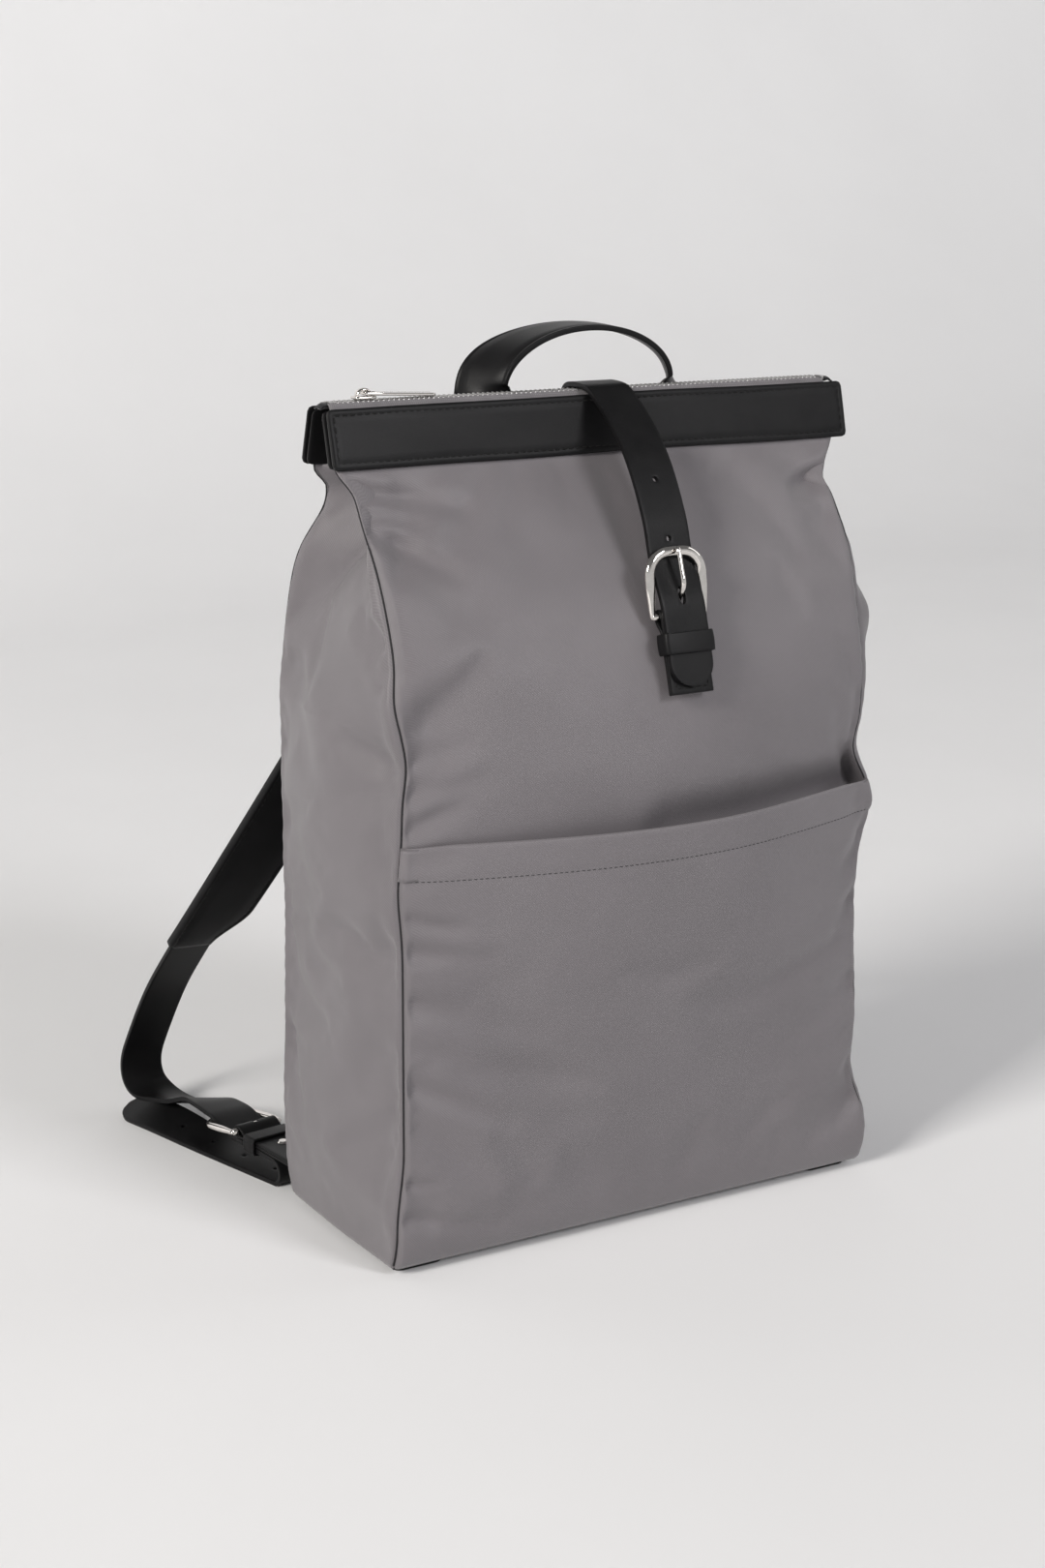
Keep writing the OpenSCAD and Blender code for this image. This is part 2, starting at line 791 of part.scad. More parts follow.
module buckle_keeper() {
    low = tab_back - seat;
    high = strap_over + strap_t / 2 + seat;
    half = strap_w / 2 + keeper_side;
    color("black")
        translate([0, -keeper_at, 0])
            rotate([90, 0, 0])
                linear_extrude(keeper_w)
                    difference() {
                        translate([0, low - keeper_t])
                            round_rect(2 * (half + keeper_t), high - low + 2 * keeper_t, 1.2);
                        translate([-half, low])
                            square([2 * half, high - low]);
                    }
}

// Closure strap
closure_lean = atan((front_y(trim_x, snap_z + 1) - front_y(trim_x, snap_z - 1)) / 2);
closure_t = [sin(closure_lean), cos(closure_lean)];
closure_n = [-cos(closure_lean), sin(closure_lean)];
snap_seat = [front_y(trim_x, snap_z), snap_z];
closure_bar = snap_seat + closure_t * snap_at - closure_n * (snap_n - seat);
hinge_pt = [top_y + hinge_dy, crest_z - hinge_drop];
free_pt = closure_bar + closure_t * free_t;
closure_chord = unit(free_pt - hinge_pt);
closure_out = [closure_chord[1], -closure_chord[0]];
function bow_pt(f) = hinge_pt + (free_pt - hinge_pt) * f + closure_out * strap_bow * sin(180 * f);
function closure_pt(t) = closure_bar + closure_t * t + closure_n * strap_lift(t);

module on_closure() {
    translate([trim_x, closure_bar[0], closure_bar[1]])
        rotate([90 - closure_lean, 0, 0])
            children();
}

module closure_strap_rear() {
    path = spline([
        rear_pt(3, strap_n),
        rear_pt(band_h / 2, strap_n),
        rear_pt(band_h - 0.5, strap_n + 0.2),
        [top_y + 9, crest_z - 0.5],
        [top_y, crest_z],
        hinge_pt + [seat, 0]
    ], 6);
    color("black")
        translate([trim_x, 0, 0])
            along_x(strap_w)
                polygon(strip_outline(path, strap_t));
}

module closure_strap_front() {
    first = hinge_gap / norm(free_pt - hinge_pt);
    bow = [for (f = steps(first, 1, 16)) bow_pt(f)];
    run = [for (t = steps(free_t - 3, -closure_tip + strap_w / 2, 24)) closure_pt(t)];
    path = [for (p = concat(bow, run)) [trim_x, p[0], p[1]]];
    last = len(path) - 1;
    tip_dir = -[0, closure_t[0], closure_t[1]];
    body = [for (i = [0:last])
        ribbon_ring(path[i], i == last ? tip_dir : heading(path, i), strap_across, strap_w, strap_t)];
    color("black")
        difference() {
            loft(concat(body, round_tip(path[last], tip_dir, strap_across)));
            on_closure() {
                prong_slot();
                for (k = [1, 2]) {
                    translate([0, slot_t + k * hole_pitch, -strap_bow])
                        cylinder(d = hole_d, h = 4 * strap_bow, center = true);
                }
            }
        }
}

module closure_tab() {
    on_closure()
        buckle_tab(closure_tab_l);
}

module closure_keeper() {
    on_closure()
        buckle_keeper();
}

module closure_buckle() {
    on_closure()
        buckle_frame();
}

module closure_prong() {
    on_closure()
        buckle_prong();
}

module snap_stud() {
    color("silver")
        on_closure()
            translate([0, -snap_at, tab_back - stud_t]) {
                cylinder(r = snap_r, h = stud_t);
                translate([0, 0, -snap_plate])
                    cylinder(r = snap_r / 3, h = snap_plate + 0.1);
            }
}

module snap_socket() {
    color("silver")
        on_closure()
            translate([0, -snap_at, snap_n])
                difference() {
                    cylinder(r = snap_r + 1, h = socket_t);
                    translate([0, 0, socket_t - snap_plate])
                        cylinder(r = snap_r / 3 + seat, h = snap_plate + 1);
                }
}

// Carry handle
function handle_ring(a) =
    let (
        c = [handle_x + handle_span / 2 * cos(a), handle_y, handle_z + handle_rise * sin(a)],
        d = unit([handle_span / 2 * sin(a), 0, -handle_rise * cos(a)]),
        turn = handle_splay * cos(a)
    )
    padded_ring(c, d, [sin(turn), cos(turn), 0], handle_w, handle_t);

module carry_handle() {
    color("black")
        loft([for (i = [0:handle_rings]) handle_ring(180 - 180 * i / handle_rings)]);
}

module handle_ends() {
    color("black")
        to_rear()
            on_band()
                for (side = [-1, 1]) {
                    translate([handle_x + side * handle_span / 2, 2, band_face_n + seat])
                        linear_extrude(handle_t)
                            round_rect(handle_w, band_h - 2, 2);
                }
}

// Left shoulder strap, with the right one as its mirror image
anchor = [-body_w / 2 + anchor_inset, rear_seam_y(anchor_z) + seat, anchor_z];
toe_dir = [-sin(anchor_toe), cos(anchor_toe), 0];
left_bar = anchor + toe_dir * anchor_l;
pad_slope = (back_y(pad_x, pad_z + 1) - back_y(pad_x, pad_z - 1)) / 2;
pad_out = unit([0, 1, -pad_slope]);
pad_top = [-pad_x, back_y(pad_x, pad_z), pad_z] + pad_out * (pad_t / 2 + 2 * seat);
pad_end = left_bar + step_at;
pad_ctrl = [
    pad_top,
    pad_top + unit([-0.16, -pad_slope, -1]) * pad_pull,
    pad_end - unit(fall_at[0] - step_at) * pad_swing,
    pad_end
];
function pad_at(f) =
    let (g = 1 - f)
    g * g * g * pad_ctrl[0] + 3 * g * g * f * pad_ctrl[1] + 3 * g * f * f * pad_ctrl[2] + f * f * f * pad_ctrl[3];
pad_path = [for (f = steps(0, 1, pad_rings)) pad_at(f)];
strap_across = [1, 0, 0];

module on_left_buckle() {
    translate(left_bar)
        rotate([0, 0, anchor_toe])
            rotate([0, 180, 0])
                children();
}

function left_pt(t, n) = left_bar + toe_dir * t - [0, 0, n];

module left_strap_upper() {
    taper = pad_rings - 1;
    color("black")
        loft([for (i = [0:pad_rings])
            padded_ring(pad_path[i], heading(pad_path, i), strap_across, i > taper ? strap_w + 4 : pad_w, pad_t)]);
}

// The narrow strap lies under the pad, falls to the floor, passes the buckle and turns back as a free end
function lap_at(i) =
    let (d = heading(pad_path, i))
    pad_path[i] + cross(unit(strap_across - (strap_across * d) * d), d) * ((pad_t + strap_t) / 2 + 2 * seat);
lower_lap = [for (i = [pad_rings - lap_rings:pad_rings - 1]) lap_at(i)];
lower_fall = spline(concat(
    [lap_at(pad_rings), lap_at(pad_rings) + heading(pad_path, pad_rings) * 4],
    [for (p = fall_at) left_bar + p],
    [left_pt(free_t, 0), left_pt(frame_l, 0)]
), 5);
lower_run = [for (t = steps(frame_l - 2, curl_at, 28)) left_pt(t, strap_lift(t))];
curl_r = (anchor_z - strap_over - strap_t / 2) / 2;
lower_curl = [for (a = steps(15, 150, 8))
    left_pt(curl_at - curl_r * sin(a), strap_over + curl_r * (1 - cos(a)))];
tail_dir = [-sin(tail_turn), cos(tail_turn), 0];
tail_start = left_pt(curl_at, anchor_z - strap_t / 2);
function roll_at(d) = tail_roll * smooth((d - 50) / 70);
function tail_at(d) =
    let (r = roll_at(d)) tail_start + tail_dir * d + [0, 0, strap_w / 2 * sin(r) - strap_t / 2 * (1 - cos(r))];
function tail_across(d) = let (r = roll_at(d)) [cos(r) * tail_dir[1], -cos(r) * tail_dir[0], sin(r)];
lower_path = concat(lower_lap, lower_fall, lower_run, lower_curl, [tail_at(0)]);

module left_strap_lower() {
    end = tail_l - strap_w / 2;
    body = [for (i = [0:len(lower_path) - 2])
        ribbon_ring(lower_path[i], heading(lower_path, i), strap_across, strap_w, strap_t)];
    tail = [for (d = concat(tail_ds, [end])) ribbon_ring(tail_at(d), tail_dir, tail_across(d), strap_w, strap_t)];
    color("black")
        difference() {
            loft(concat(body, tail, round_tip(tail_at(end), tail_dir, tail_across(end))));
            on_left_buckle()
                prong_slot();
            for (k = [0:3]) {
                d = tail_l - tip_hole - k * hole_pitch * 0.9;
                translate(tail_at(d))
                    rotate(a = -roll_at(d), v = tail_dir)
                        cylinder(d = hole_d, h = 3 * strap_t, center = true);
            }
        }
}

module left_strap_tab() {
    color("black")
        difference() {
            on_left_buckle()
                buckle_tab(anchor_l + strap_w / 2);
            translate([-body_w, -body_d, 0])
                cube([2 * body_w, body_d + anchor[1], 2 * anchor_z]);
        }
}

module left_strap_keeper() {
    on_left_buckle()
        buckle_keeper();
}

module left_strap_buckle() {
    on_left_buckle()
        buckle_frame();
}

module left_strap_prong() {
    on_left_buckle()
        buckle_prong();
}

module left_tab_rivet() {
    color("silver")
        on_left_buckle()
            translate([0, -keeper_at - keeper_w - 8, tab_back - 1])
                cylinder(r1 = 2.2, r2 = 3.2, h = 1);
}

module mirrored() {
    mirror([1, 0, 0])
        children();
}

module right_strap_upper() { mirrored() left_strap_upper(); }
module right_strap_lower() { mirrored() left_strap_lower(); }
module right_strap_tab() { mirrored() left_strap_tab(); }
module right_strap_keeper() { mirrored() left_strap_keeper(); }
module right_strap_buckle() { mirrored() left_strap_buckle(); }
module right_strap_prong() { mirrored() left_strap_prong(); }
module right_tab_rivet() { mirrored() left_tab_rivet(); }

front_panel();
back_panel();
left_gusset();
right_gusset();
base_panel();
front_pocket();
base_board();
back_foam();
lining();
device_sleeve();
base_feet();
front_band();
front_band_facing();
rear_band();
rear_band_facing();
zip_tape_front();
zip_tape_rear();
zip_teeth_front();
zip_teeth_rear();
zip_stops();
zip_ends();
zip_slider();
zip_pull();
closure_strap_rear();
closure_strap_front();
closure_tab();
closure_keeper();
closure_buckle();
closure_prong();
snap_stud();
snap_socket();
carry_handle();
handle_ends();
left_strap_upper();
left_strap_lower();
left_strap_tab();
left_strap_keeper();
left_strap_buckle();
left_strap_prong();
left_tab_rivet();
right_strap_upper();
right_strap_lower();
right_strap_tab();
right_strap_keeper();
right_strap_buckle();
right_strap_prong();
right_tab_rivet();
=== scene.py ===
import math

import bpy
import numpy as np
from mathutils import Matrix, Vector


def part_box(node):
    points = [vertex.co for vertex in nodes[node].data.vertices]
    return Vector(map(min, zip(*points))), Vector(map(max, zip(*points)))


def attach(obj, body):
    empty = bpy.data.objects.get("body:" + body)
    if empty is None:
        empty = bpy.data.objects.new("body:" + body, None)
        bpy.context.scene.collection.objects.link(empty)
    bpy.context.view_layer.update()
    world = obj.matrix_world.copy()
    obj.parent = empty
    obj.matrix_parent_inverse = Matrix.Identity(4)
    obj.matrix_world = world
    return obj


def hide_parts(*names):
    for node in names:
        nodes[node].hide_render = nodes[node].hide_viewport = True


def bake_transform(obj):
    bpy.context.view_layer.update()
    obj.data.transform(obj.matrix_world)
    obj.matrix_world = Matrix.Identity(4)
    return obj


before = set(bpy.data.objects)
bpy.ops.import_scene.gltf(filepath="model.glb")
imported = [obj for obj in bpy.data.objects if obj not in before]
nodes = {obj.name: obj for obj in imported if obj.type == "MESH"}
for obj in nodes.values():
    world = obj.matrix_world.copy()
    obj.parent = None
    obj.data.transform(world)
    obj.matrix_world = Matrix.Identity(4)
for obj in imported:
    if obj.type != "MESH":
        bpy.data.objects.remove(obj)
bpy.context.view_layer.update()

# Sizes of the solids, in millimetres
MM = 0.001
BODY_W = 300.0
BODY_D = 126.0
BODY_H = 436.5
HALF_W = BODY_W / 2
SHOULDER_Z = 285.0
FABRIC_T = 1.5
FRONT_BELLY = 22.0
BACK_BELLY = 5.0
SIDE_BELLY = 8.0
FOLD_DEPTH = 26.0
CORNER_TUCK = 6.0
TUCK_H = 24.0
BASE_Z = 3.5
POCKET_H = 229.0
POCKET_ROOM = 11.0
HEM_H = 16.0
SEAT = 0.3
FOAM_T = 5.0
LINING_GAP = 3.0
BAND_H = 30.0
BAND_T = 2.2
FACING_T = 1.6
BAND_TILT = math.radians(14.5)
BAND_L = 310.0
TOP_Y = 4.5
BAND_GAP = 16.0
TAPE_T = 0.8
TOOTH_PITCH = 2.8
TOOTH_H = 2.0
STRAP_W = 25.0
STRAP_T = 2.5
HOLE_PITCH = 30.0
HOLE_D = 3.0
FRAME_L = 32.0
WIRE_R = 2.3
BAR_R = 1.75
PRONG_R = 1.3
TAB_T = 1.8
KEEPER_W = 11.0
KEEPER_AT = 9.0
KEEPER_T = 1.6
TRIM_X = 5.0
CLOSURE_TIP = 37.0
CLOSURE_TAB = 40.0
STRAP_BOW = 7.5
HANDLE_X = 6.4
HANDLE_W = 30.0
HANDLE_T = 3.0
HANDLE_SPAN = 116.0
HANDLE_RISE = 31.0
HANDLE_SPLAY = math.radians(30.0)
PAD_W = 40.0
PAD_T = 5.0
PAD_X = 52.0
ANCHOR_Z = 20.0
ANCHOR_L = 56.0
ANCHOR_TOE = math.radians(7.8)
TAIL_L = 146.0
TAIL_TURN = math.radians(16.0)
TAIL_ROLL = math.radians(18.0)

# Sizes and axes of the visual alone
CLOTH_T = 1.1
BAND_SEAM = 3.2
PAD_SEAM = 3.2
PULL_DROOP = math.radians(3.0)
SLOT_HALF = (4.65, 2.0)
CURL_T = -38.0
EDGE_STEPS = np.array([0, 0.8, 1.7, 2.8, 4.2])
X_AXIS, Y_AXIS, Z_AXIS = np.eye(3)

# Sizes that follow from the solids
BAND_Z = BODY_H - BAND_H * math.cos(BAND_TILT)
FOOT_DY = BAND_GAP / 2 + BAND_H * math.sin(BAND_TILT)
FRONT_FOOT_Y = TOP_Y - FOOT_DY
REAR_FOOT_Y = TOP_Y + FOOT_DY
CLOTH_Y = FABRIC_T / math.cos(BAND_TILT)
TONGUE_Z = BODY_H - 4
BAND_FACE_N = FABRIC_T / 2 + SEAT + BAND_T
TAPE_N = -FABRIC_T / 2 - SEAT - TAPE_T / 2
FACING_N = TAPE_N - TAPE_T / 2 - SEAT
STRAP_N = BAND_FACE_N + 1.5 * SEAT + STRAP_T / 2
HANDLE_N = BAND_FACE_N + SEAT + HANDLE_T / 2
CHAIN_Z = BODY_H + 2
CHAIN_L = BODY_W - 6
SLIDER_X = -HALF_W + 20.4
PIN_Z = CHAIN_Z + TOOTH_H / 2 + 0.4 + 1.4 + 1.35
TAB_IN = BAR_R + 0.3
TAB_R = TAB_IN + TAB_T
TAB_BACK = TAB_IN - TAB_T
STRAP_OVER = TAB_R + SEAT + STRAP_T / 2
FRAME_RISE = STRAP_T / 2 + 0.9 + WIRE_R
FRAME_TILT = math.asin(FRAME_RISE / FRAME_L)
LEG_X = STRAP_W / 2 + 0.9 + WIRE_R
PRONG_N = FRAME_RISE + WIRE_R + 0.4 + PRONG_R
SLOT_T = 8.85
CREST_Z = CHAIN_Z + TOOTH_H / 2 + 0.6 + STRAP_T / 2
HINGE = np.array([TOP_Y - 11, CREST_Z - 0.8])
SNAP_Z = BAND_Z - 104
SNAP_AT = 30.0
SNAP_N = TAB_BACK - 1.4 - 2 - 2 * SEAT
FREE_T = FRAME_L + 14
HANDLE_Z = BODY_H + 1.9
PAD_Z = BAND_Z - 9.5
FRONT_OUT = np.array([0.0, -math.cos(BAND_TILT), math.sin(BAND_TILT)])
REAR_OUT = FRONT_OUT * [1, -1, 1]


# Shape of the shell, as in the solids
def clamp01(v):
    return np.clip(v, 0.0, 1.0)


def smooth(v):
    c = clamp01(v)
    return c * c * (3 - 2 * c)


def bump(z, at, wide):
    return np.exp(-(((z - at) / wide) ** 2))


def bulges(z, humps):
    return sum(amount * bump(z, at, wide) for at, wide, amount in humps)


def up_side(z):
    return clamp01((z - BASE_Z) / (BAND_Z - BASE_Z))


def up_shoulder(z):
    return clamp01((z - SHOULDER_Z) / (BAND_Z - SHOULDER_Z))


def lean(z):
    return up_shoulder(z) ** 1.6


def tuck(z):
    return CORNER_TUCK * np.maximum(0, 1 - (z - BASE_Z) / TUCK_H) ** 2


def along_band(z):
    return np.maximum(0, z - BAND_Z) * math.tan(BAND_TILT)


def belly(z):
    return np.sin(np.pi * up_side(z) ** 1.6)


def crown(x):
    return np.cos(np.pi * x / BODY_W)


def front_seam_y(z):
    return -BODY_D / 2 + tuck(z) + (FRONT_FOOT_Y - CLOTH_Y / 2 + BODY_D / 2) * lean(z) + along_band(z)


def rear_seam_y(z):
    return BODY_D / 2 - tuck(z) - (BODY_D / 2 - REAR_FOOT_Y - CLOTH_Y / 2) * lean(z) - along_band(z)


def front_y(x, z):
    return front_seam_y(z) - FRONT_BELLY * belly(z) * crown(x)


def back_y(x, z):
    return rear_seam_y(z) + BACK_BELLY * belly(z) * crown(x)


def slope_of(surface, x, z):
    return float((surface(x, z + 1) - surface(x, z - 1)) / 2)


def pocket_full(z):
    return POCKET_ROOM * np.sin(np.pi / 2 * clamp01((z - BASE_Z) / (POCKET_H - BASE_Z)))


def fold_reach(z):
    return FOLD_DEPTH * up_shoulder(z) ** 0.7


def band_pt(u, n):
    s, c = math.sin(BAND_TILT), math.cos(BAND_TILT)
    return np.array([FRONT_FOOT_Y + u * s - n * c, BAND_Z + u * c + n * s])


def rear_pt(u, n):
    p = band_pt(u, n)
    return np.array([2 * TOP_Y - p[0], p[1]])


def strap_lift(t):
    return STRAP_OVER * smooth((FRAME_L - t) / (FRAME_L - 2))


# Paths
def unit(v):
    v = np.asarray(v, float)
    return v / np.linalg.norm(v, axis=-1, keepdims=True)


def cubic(field, at):
    """Smooth values between the rows of a field."""
    i = np.clip(at.astype(int), 0, len(field) - 2)
    t = (at - i)[:, None]
    a, b, c, d = (field[np.clip(i + k, 0, len(field) - 1)] for k in (-1, 0, 1, 2))
    return 0.5 * (2 * b + (c - a) * t + (2 * a - 5 * b + 4 * c - d) * t ** 2
                  + (3 * b - a - 3 * c + d) * t ** 3)


def columns(*coordinates):
    """Points from their coordinates, any of which may be constant."""
    return np.stack(np.broadcast_arrays(*coordinates), -1)


def spline(points, n):
    """Smooth curve through points, with n steps from each to the next."""
    p = np.asarray(points, float)
    return cubic(p, np.arange((len(p) - 1) * n + 1) / n)


def lengths(points):
    return np.concatenate([[0], np.cumsum(np.linalg.norm(np.diff(points, axis=0), axis=1))])


def at_lengths(at, s, field):
    """Rows of a field at lengths along its path."""
    return np.stack([np.interp(at, s, field[:, k]) for k in range(field.shape[1])], 1)


def resample(points, step, *others):
    s = lengths(points)
    at = np.linspace(0, s[-1], max(2, int(round(s[-1] / step)) + 1))
    made = [at_lengths(at, s, q) for q in (points, *others)]
    return made if others else made[0]


def ease(points, passes):
    p = points.copy()
    for _ in range(passes):
        p[1:-1] = 0.25 * p[:-2] + 0.5 * p[1:-1] + 0.25 * p[2:]
    return p


def headings(points):
    return unit(np.gradient(points, axis=0))


def square_to(d, across):
    """Across vectors made square to the directions of a path."""
    return unit(across - np.sum(across * d, 1, keepdims=True) * d)


# Meshes
def mesh_object(name, points, faces, uvs=None, flip=False):
    if flip:
        faces = [tuple(reversed(f)) for f in faces]
    mesh = bpy.data.meshes.new(name)
    mesh.from_pydata((np.asarray(points, float) * MM).tolist(), [], faces)
    if uvs is not None:
        layer = mesh.uv_layers.new(name="flat")
        index = np.zeros(len(mesh.loops), np.int32)
        mesh.loops.foreach_get("vertex_index", index)
        layer.data.foreach_set("uv", (np.asarray(uvs, float)[index] * MM).ravel())
    mesh.shade_smooth()
    made = bpy.data.objects.new(name, mesh)
    bpy.context.scene.collection.objects.link(made)
    return made


def grid_faces(rows, cols, loop=False):
    wrap = cols if loop else cols - 1
    return [(r * cols + c, r * cols + (c + 1) % cols, (r + 1) * cols + (c + 1) % cols, (r + 1) * cols + c)
            for r in range(rows - 1) for c in range(wrap)]


def tube_faces(rows, cols):
    """Faces of rings of points, closed at both ends."""
    ends = [tuple(reversed(range(cols))), tuple((rows - 1) * cols + j for j in range(cols))]
    return grid_faces(rows, cols, True) + ends


def grid_object(name, points, uv, loop=False, flip=False):
    rows, cols = points.shape[:2]
    return mesh_object(name, points.reshape(-1, 3), grid_faces(rows, cols, loop), uv.reshape(-1, 2), flip)


def flat_uv(points):
    """Distances along the rows and columns of a grid, as a flat pattern has them."""
    across = np.linalg.norm(np.diff(points, axis=1), axis=2)
    along = np.linalg.norm(np.diff(points, axis=0), axis=2)
    u = np.concatenate([np.zeros((len(points), 1)), np.cumsum(across, 1)], 1)
    v = np.concatenate([np.zeros((1, points.shape[1])), np.cumsum(along, 0)], 0)
    return columns(u - u.mean(1, keepdims=True), v)


def modifier(obj, kind, **values):
    m = obj.modifiers.new(kind.lower(), kind)
    for key, value in values.items():
        setattr(m, key, value)
    return m


def thicken(obj, t, offset=-1.0, edge=0.0):
    modifier(obj, "SOLIDIFY", thickness=t * MM, offset=offset, use_even_offset=False, use_rim=True)
    if edge:
        round_edges(obj, edge)


def round_edges(obj, width, segments=2, angle=45):
    modifier(obj, "BEVEL", width=width * MM, segments=segments, limit_method="ANGLE",
             angle_limit=math.radians(angle), use_clamp_overlap=True)


def dress(obj, material, slot, body=None, stands_for=()):
    obj.data.materials.clear()
    obj.data.materials.append(material)
    if stands_for:
        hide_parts(*stands_for)
    if body:
        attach(obj, body)
    return obj


def leather_piece(obj, body, *stands_for):
    return dress(obj, LEATHER, "black_leather", body, stands_for)


def shell_piece(name, points, node, thick=CLOTH_T, flip=False):
    """Panel of the shell's cloth, from a grid of points."""
    obj = grid_object(name, points, flat_uv(points), flip=flip)
    thicken(obj, thick)
    return dress(obj, CLOTH, "shell_cloth", "bag", [node])


def join_parts(parts):
    """One list of points and faces from several."""
    points, faces, start = [], [], 0
    for p, f in parts:
        points.append(p)
        faces += [tuple(i + start for i in face) for face in f]
        start += len(p)
    return np.concatenate(points), faces


def joined_piece(name, parts, material, slot, body, stands_for=(), flip=False, place=None):
    """One piece from several parts, set in its place."""
    points, faces = join_parts(parts)
    points = place(points) if place else points
    return dress(mesh_object(name, points, faces, flip=flip), material, slot, body, stands_for)


def nickel_piece(name, parts, body, *stands_for, **more):
    return joined_piece(name, parts, NICKEL, "nickel", body, stands_for, **more)


def sweep_part(centre, across, ring):
    """A closed section, as (across, out) offsets for each station, along a path."""
    d = headings(centre)
    a = square_to(d, across)
    n = np.cross(a, d)
    points = centre[:, None] + a[:, None] * ring[:, :, :1] + n[:, None] * ring[:, :, 1:]
    round_it = lengths(np.concatenate([ring[0], ring[0][:1]]))[:-1]
    uv = columns(*np.meshgrid(round_it, lengths(centre)))
    return points.reshape(-1, 3), tube_faces(len(centre), ring.shape[1]), uv.reshape(-1, 2)


def strap_ring(w, t, r=0.6, crease=2.2, deep=0.22, dome=0.0):
    """Section of a leather strap: round edges, and a creased line inside each edge on both faces."""
    half = w / 2
    face = [-half + r, -half + crease - 0.45, -half + crease, -half + crease + 0.45]
    face = face + [-half * 0.45, 0.0, half * 0.45] + [-x for x in reversed(face)]
    top = []
    for x in face:
        groove = deep if abs(abs(x) - (half - crease)) < 0.01 else 0.0
        top.append((x, t / 2 - groove + dome * (1 - (x / half) ** 2)))
    turn = [(half - r + r * math.sin(a), middle + r * math.cos(a))
            for middle, degrees in ((t / 2 - r, (30, 60, 90)), (-t / 2 + r, (90, 120, 150)))
            for a in np.radians(degrees)]
    low = [(x, -(t / 2) + (t / 2 - n if n < t / 2 else 0)) for x, n in reversed(top)]
    other = [(-x, -n) for x, n in turn]
    return np.array(top + turn + low + other)


def tube_part(centre, side, out, wide, high, count=16):
    """Tube of an oval section, with its own radius along side and along out at each point."""
    angles = np.linspace(0, 2 * np.pi, count, endpoint=False)[:, None]
    along_side = (np.asarray(side, float) * np.reshape(wide, (-1, 1)))[:, None]
    along_out = (np.asarray(out, float) * np.reshape(high, (-1, 1)))[:, None]
    points = centre[:, None] + np.cos(angles) * along_side + np.sin(angles) * along_out
    return points.reshape(-1, 3), tube_faces(len(centre), count)


def strap_strip(name, centre, across, width, thick, holes=(), cuts=(), step=1.5, cols=16, edge=0.45):
    """Leather strip along a path, with real holes. A hole is (along, half length, half width)."""
    s = lengths(centre)
    rows = list(np.linspace(0, s[-1], int(s[-1] / step) + 1))
    cell = STRAP_W / cols
    blocks = []
    for at, half_s, half_x in holes:
        k = int(math.ceil((half_s + 1.2) / step))
        rows = [r for r in rows if abs(r - at) > (k + 0.5) * step] + [at + i * step for i in range(-k, k + 1)]
        blocks.append((at, k, int(math.ceil((half_x + 0.8) / cell)), half_s, half_x))
    rows = np.array(sorted(rows))
    c = at_lengths(rows, s, centre)
    w = np.interp(rows, s, width)
    d = headings(c)
    a = square_to(d, at_lengths(rows, s, np.broadcast_to(across, centre.shape)))
    xs = np.linspace(-0.5, 0.5, cols + 1)
    points = list((c[:, None] + a[:, None] * (xs[None, :, None] * w[:, None, None])).reshape(-1, 3))
    uv = list(columns(xs * w[:, None], rows[:, None]).reshape(-1, 2))
    cells = [(r, q) for r in range(len(rows) - 1) for q in range(cols)]
    gone = set()
    extra = []
    for at, k, kx, half_s, half_x in blocks:
        mid = int(np.argmin(np.abs(rows - at)))
        r0, r1, c0, c1 = mid - k, mid + k, cols // 2 - kx, cols // 2 + kx
        gone |= {(r, q) for r in range(r0, r1) for q in range(c0, c1)}
        rim = [(r0, q) for q in range(c0, c1)] + [(r, c1) for r in range(r0, r1)]
        rim += [(r1, q) for q in range(c1, c0, -1)] + [(r, c0) for r in range(r1, r0, -1)]
        first, n = len(points), len(rim)
        for r, q in rim:
            ds, dx = rows[r] - at, xs[q] * w[r]
            f = 1 / math.hypot(ds / half_s, dx / half_x)
            points.append(c[mid] + d[mid] * ds * f + a[mid] * dx * f)
            uv.append(np.array([dx * f, at + ds * f]))
        corner = [r * (cols + 1) + q for r, q in rim]
        extra += [(corner[i], corner[(i + 1) % n], first + (i + 1) % n, first + i) for i in range(n)]
    for lo, hi, half in cuts:
        gone |= {(r, q) for r, q in cells if lo < 0.5 * (rows[r] + rows[r + 1]) < hi
                 and abs(0.5 * (xs[q] + xs[q + 1])) * STRAP_W < half}
    faces = [f for f, place in zip(grid_faces(len(rows), cols + 1), cells) if place not in gone] + extra
    used = sorted({i for f in faces for i in f})
    new = {old: i for i, old in enumerate(used)}
    faces = [tuple(new[i] for i in f) for f in faces]
    obj = mesh_object(name, np.array([points[i] for i in used]), faces, np.array([uv[i] for i in used]))
    thicken(obj, thick, 0.0, edge)
    return obj


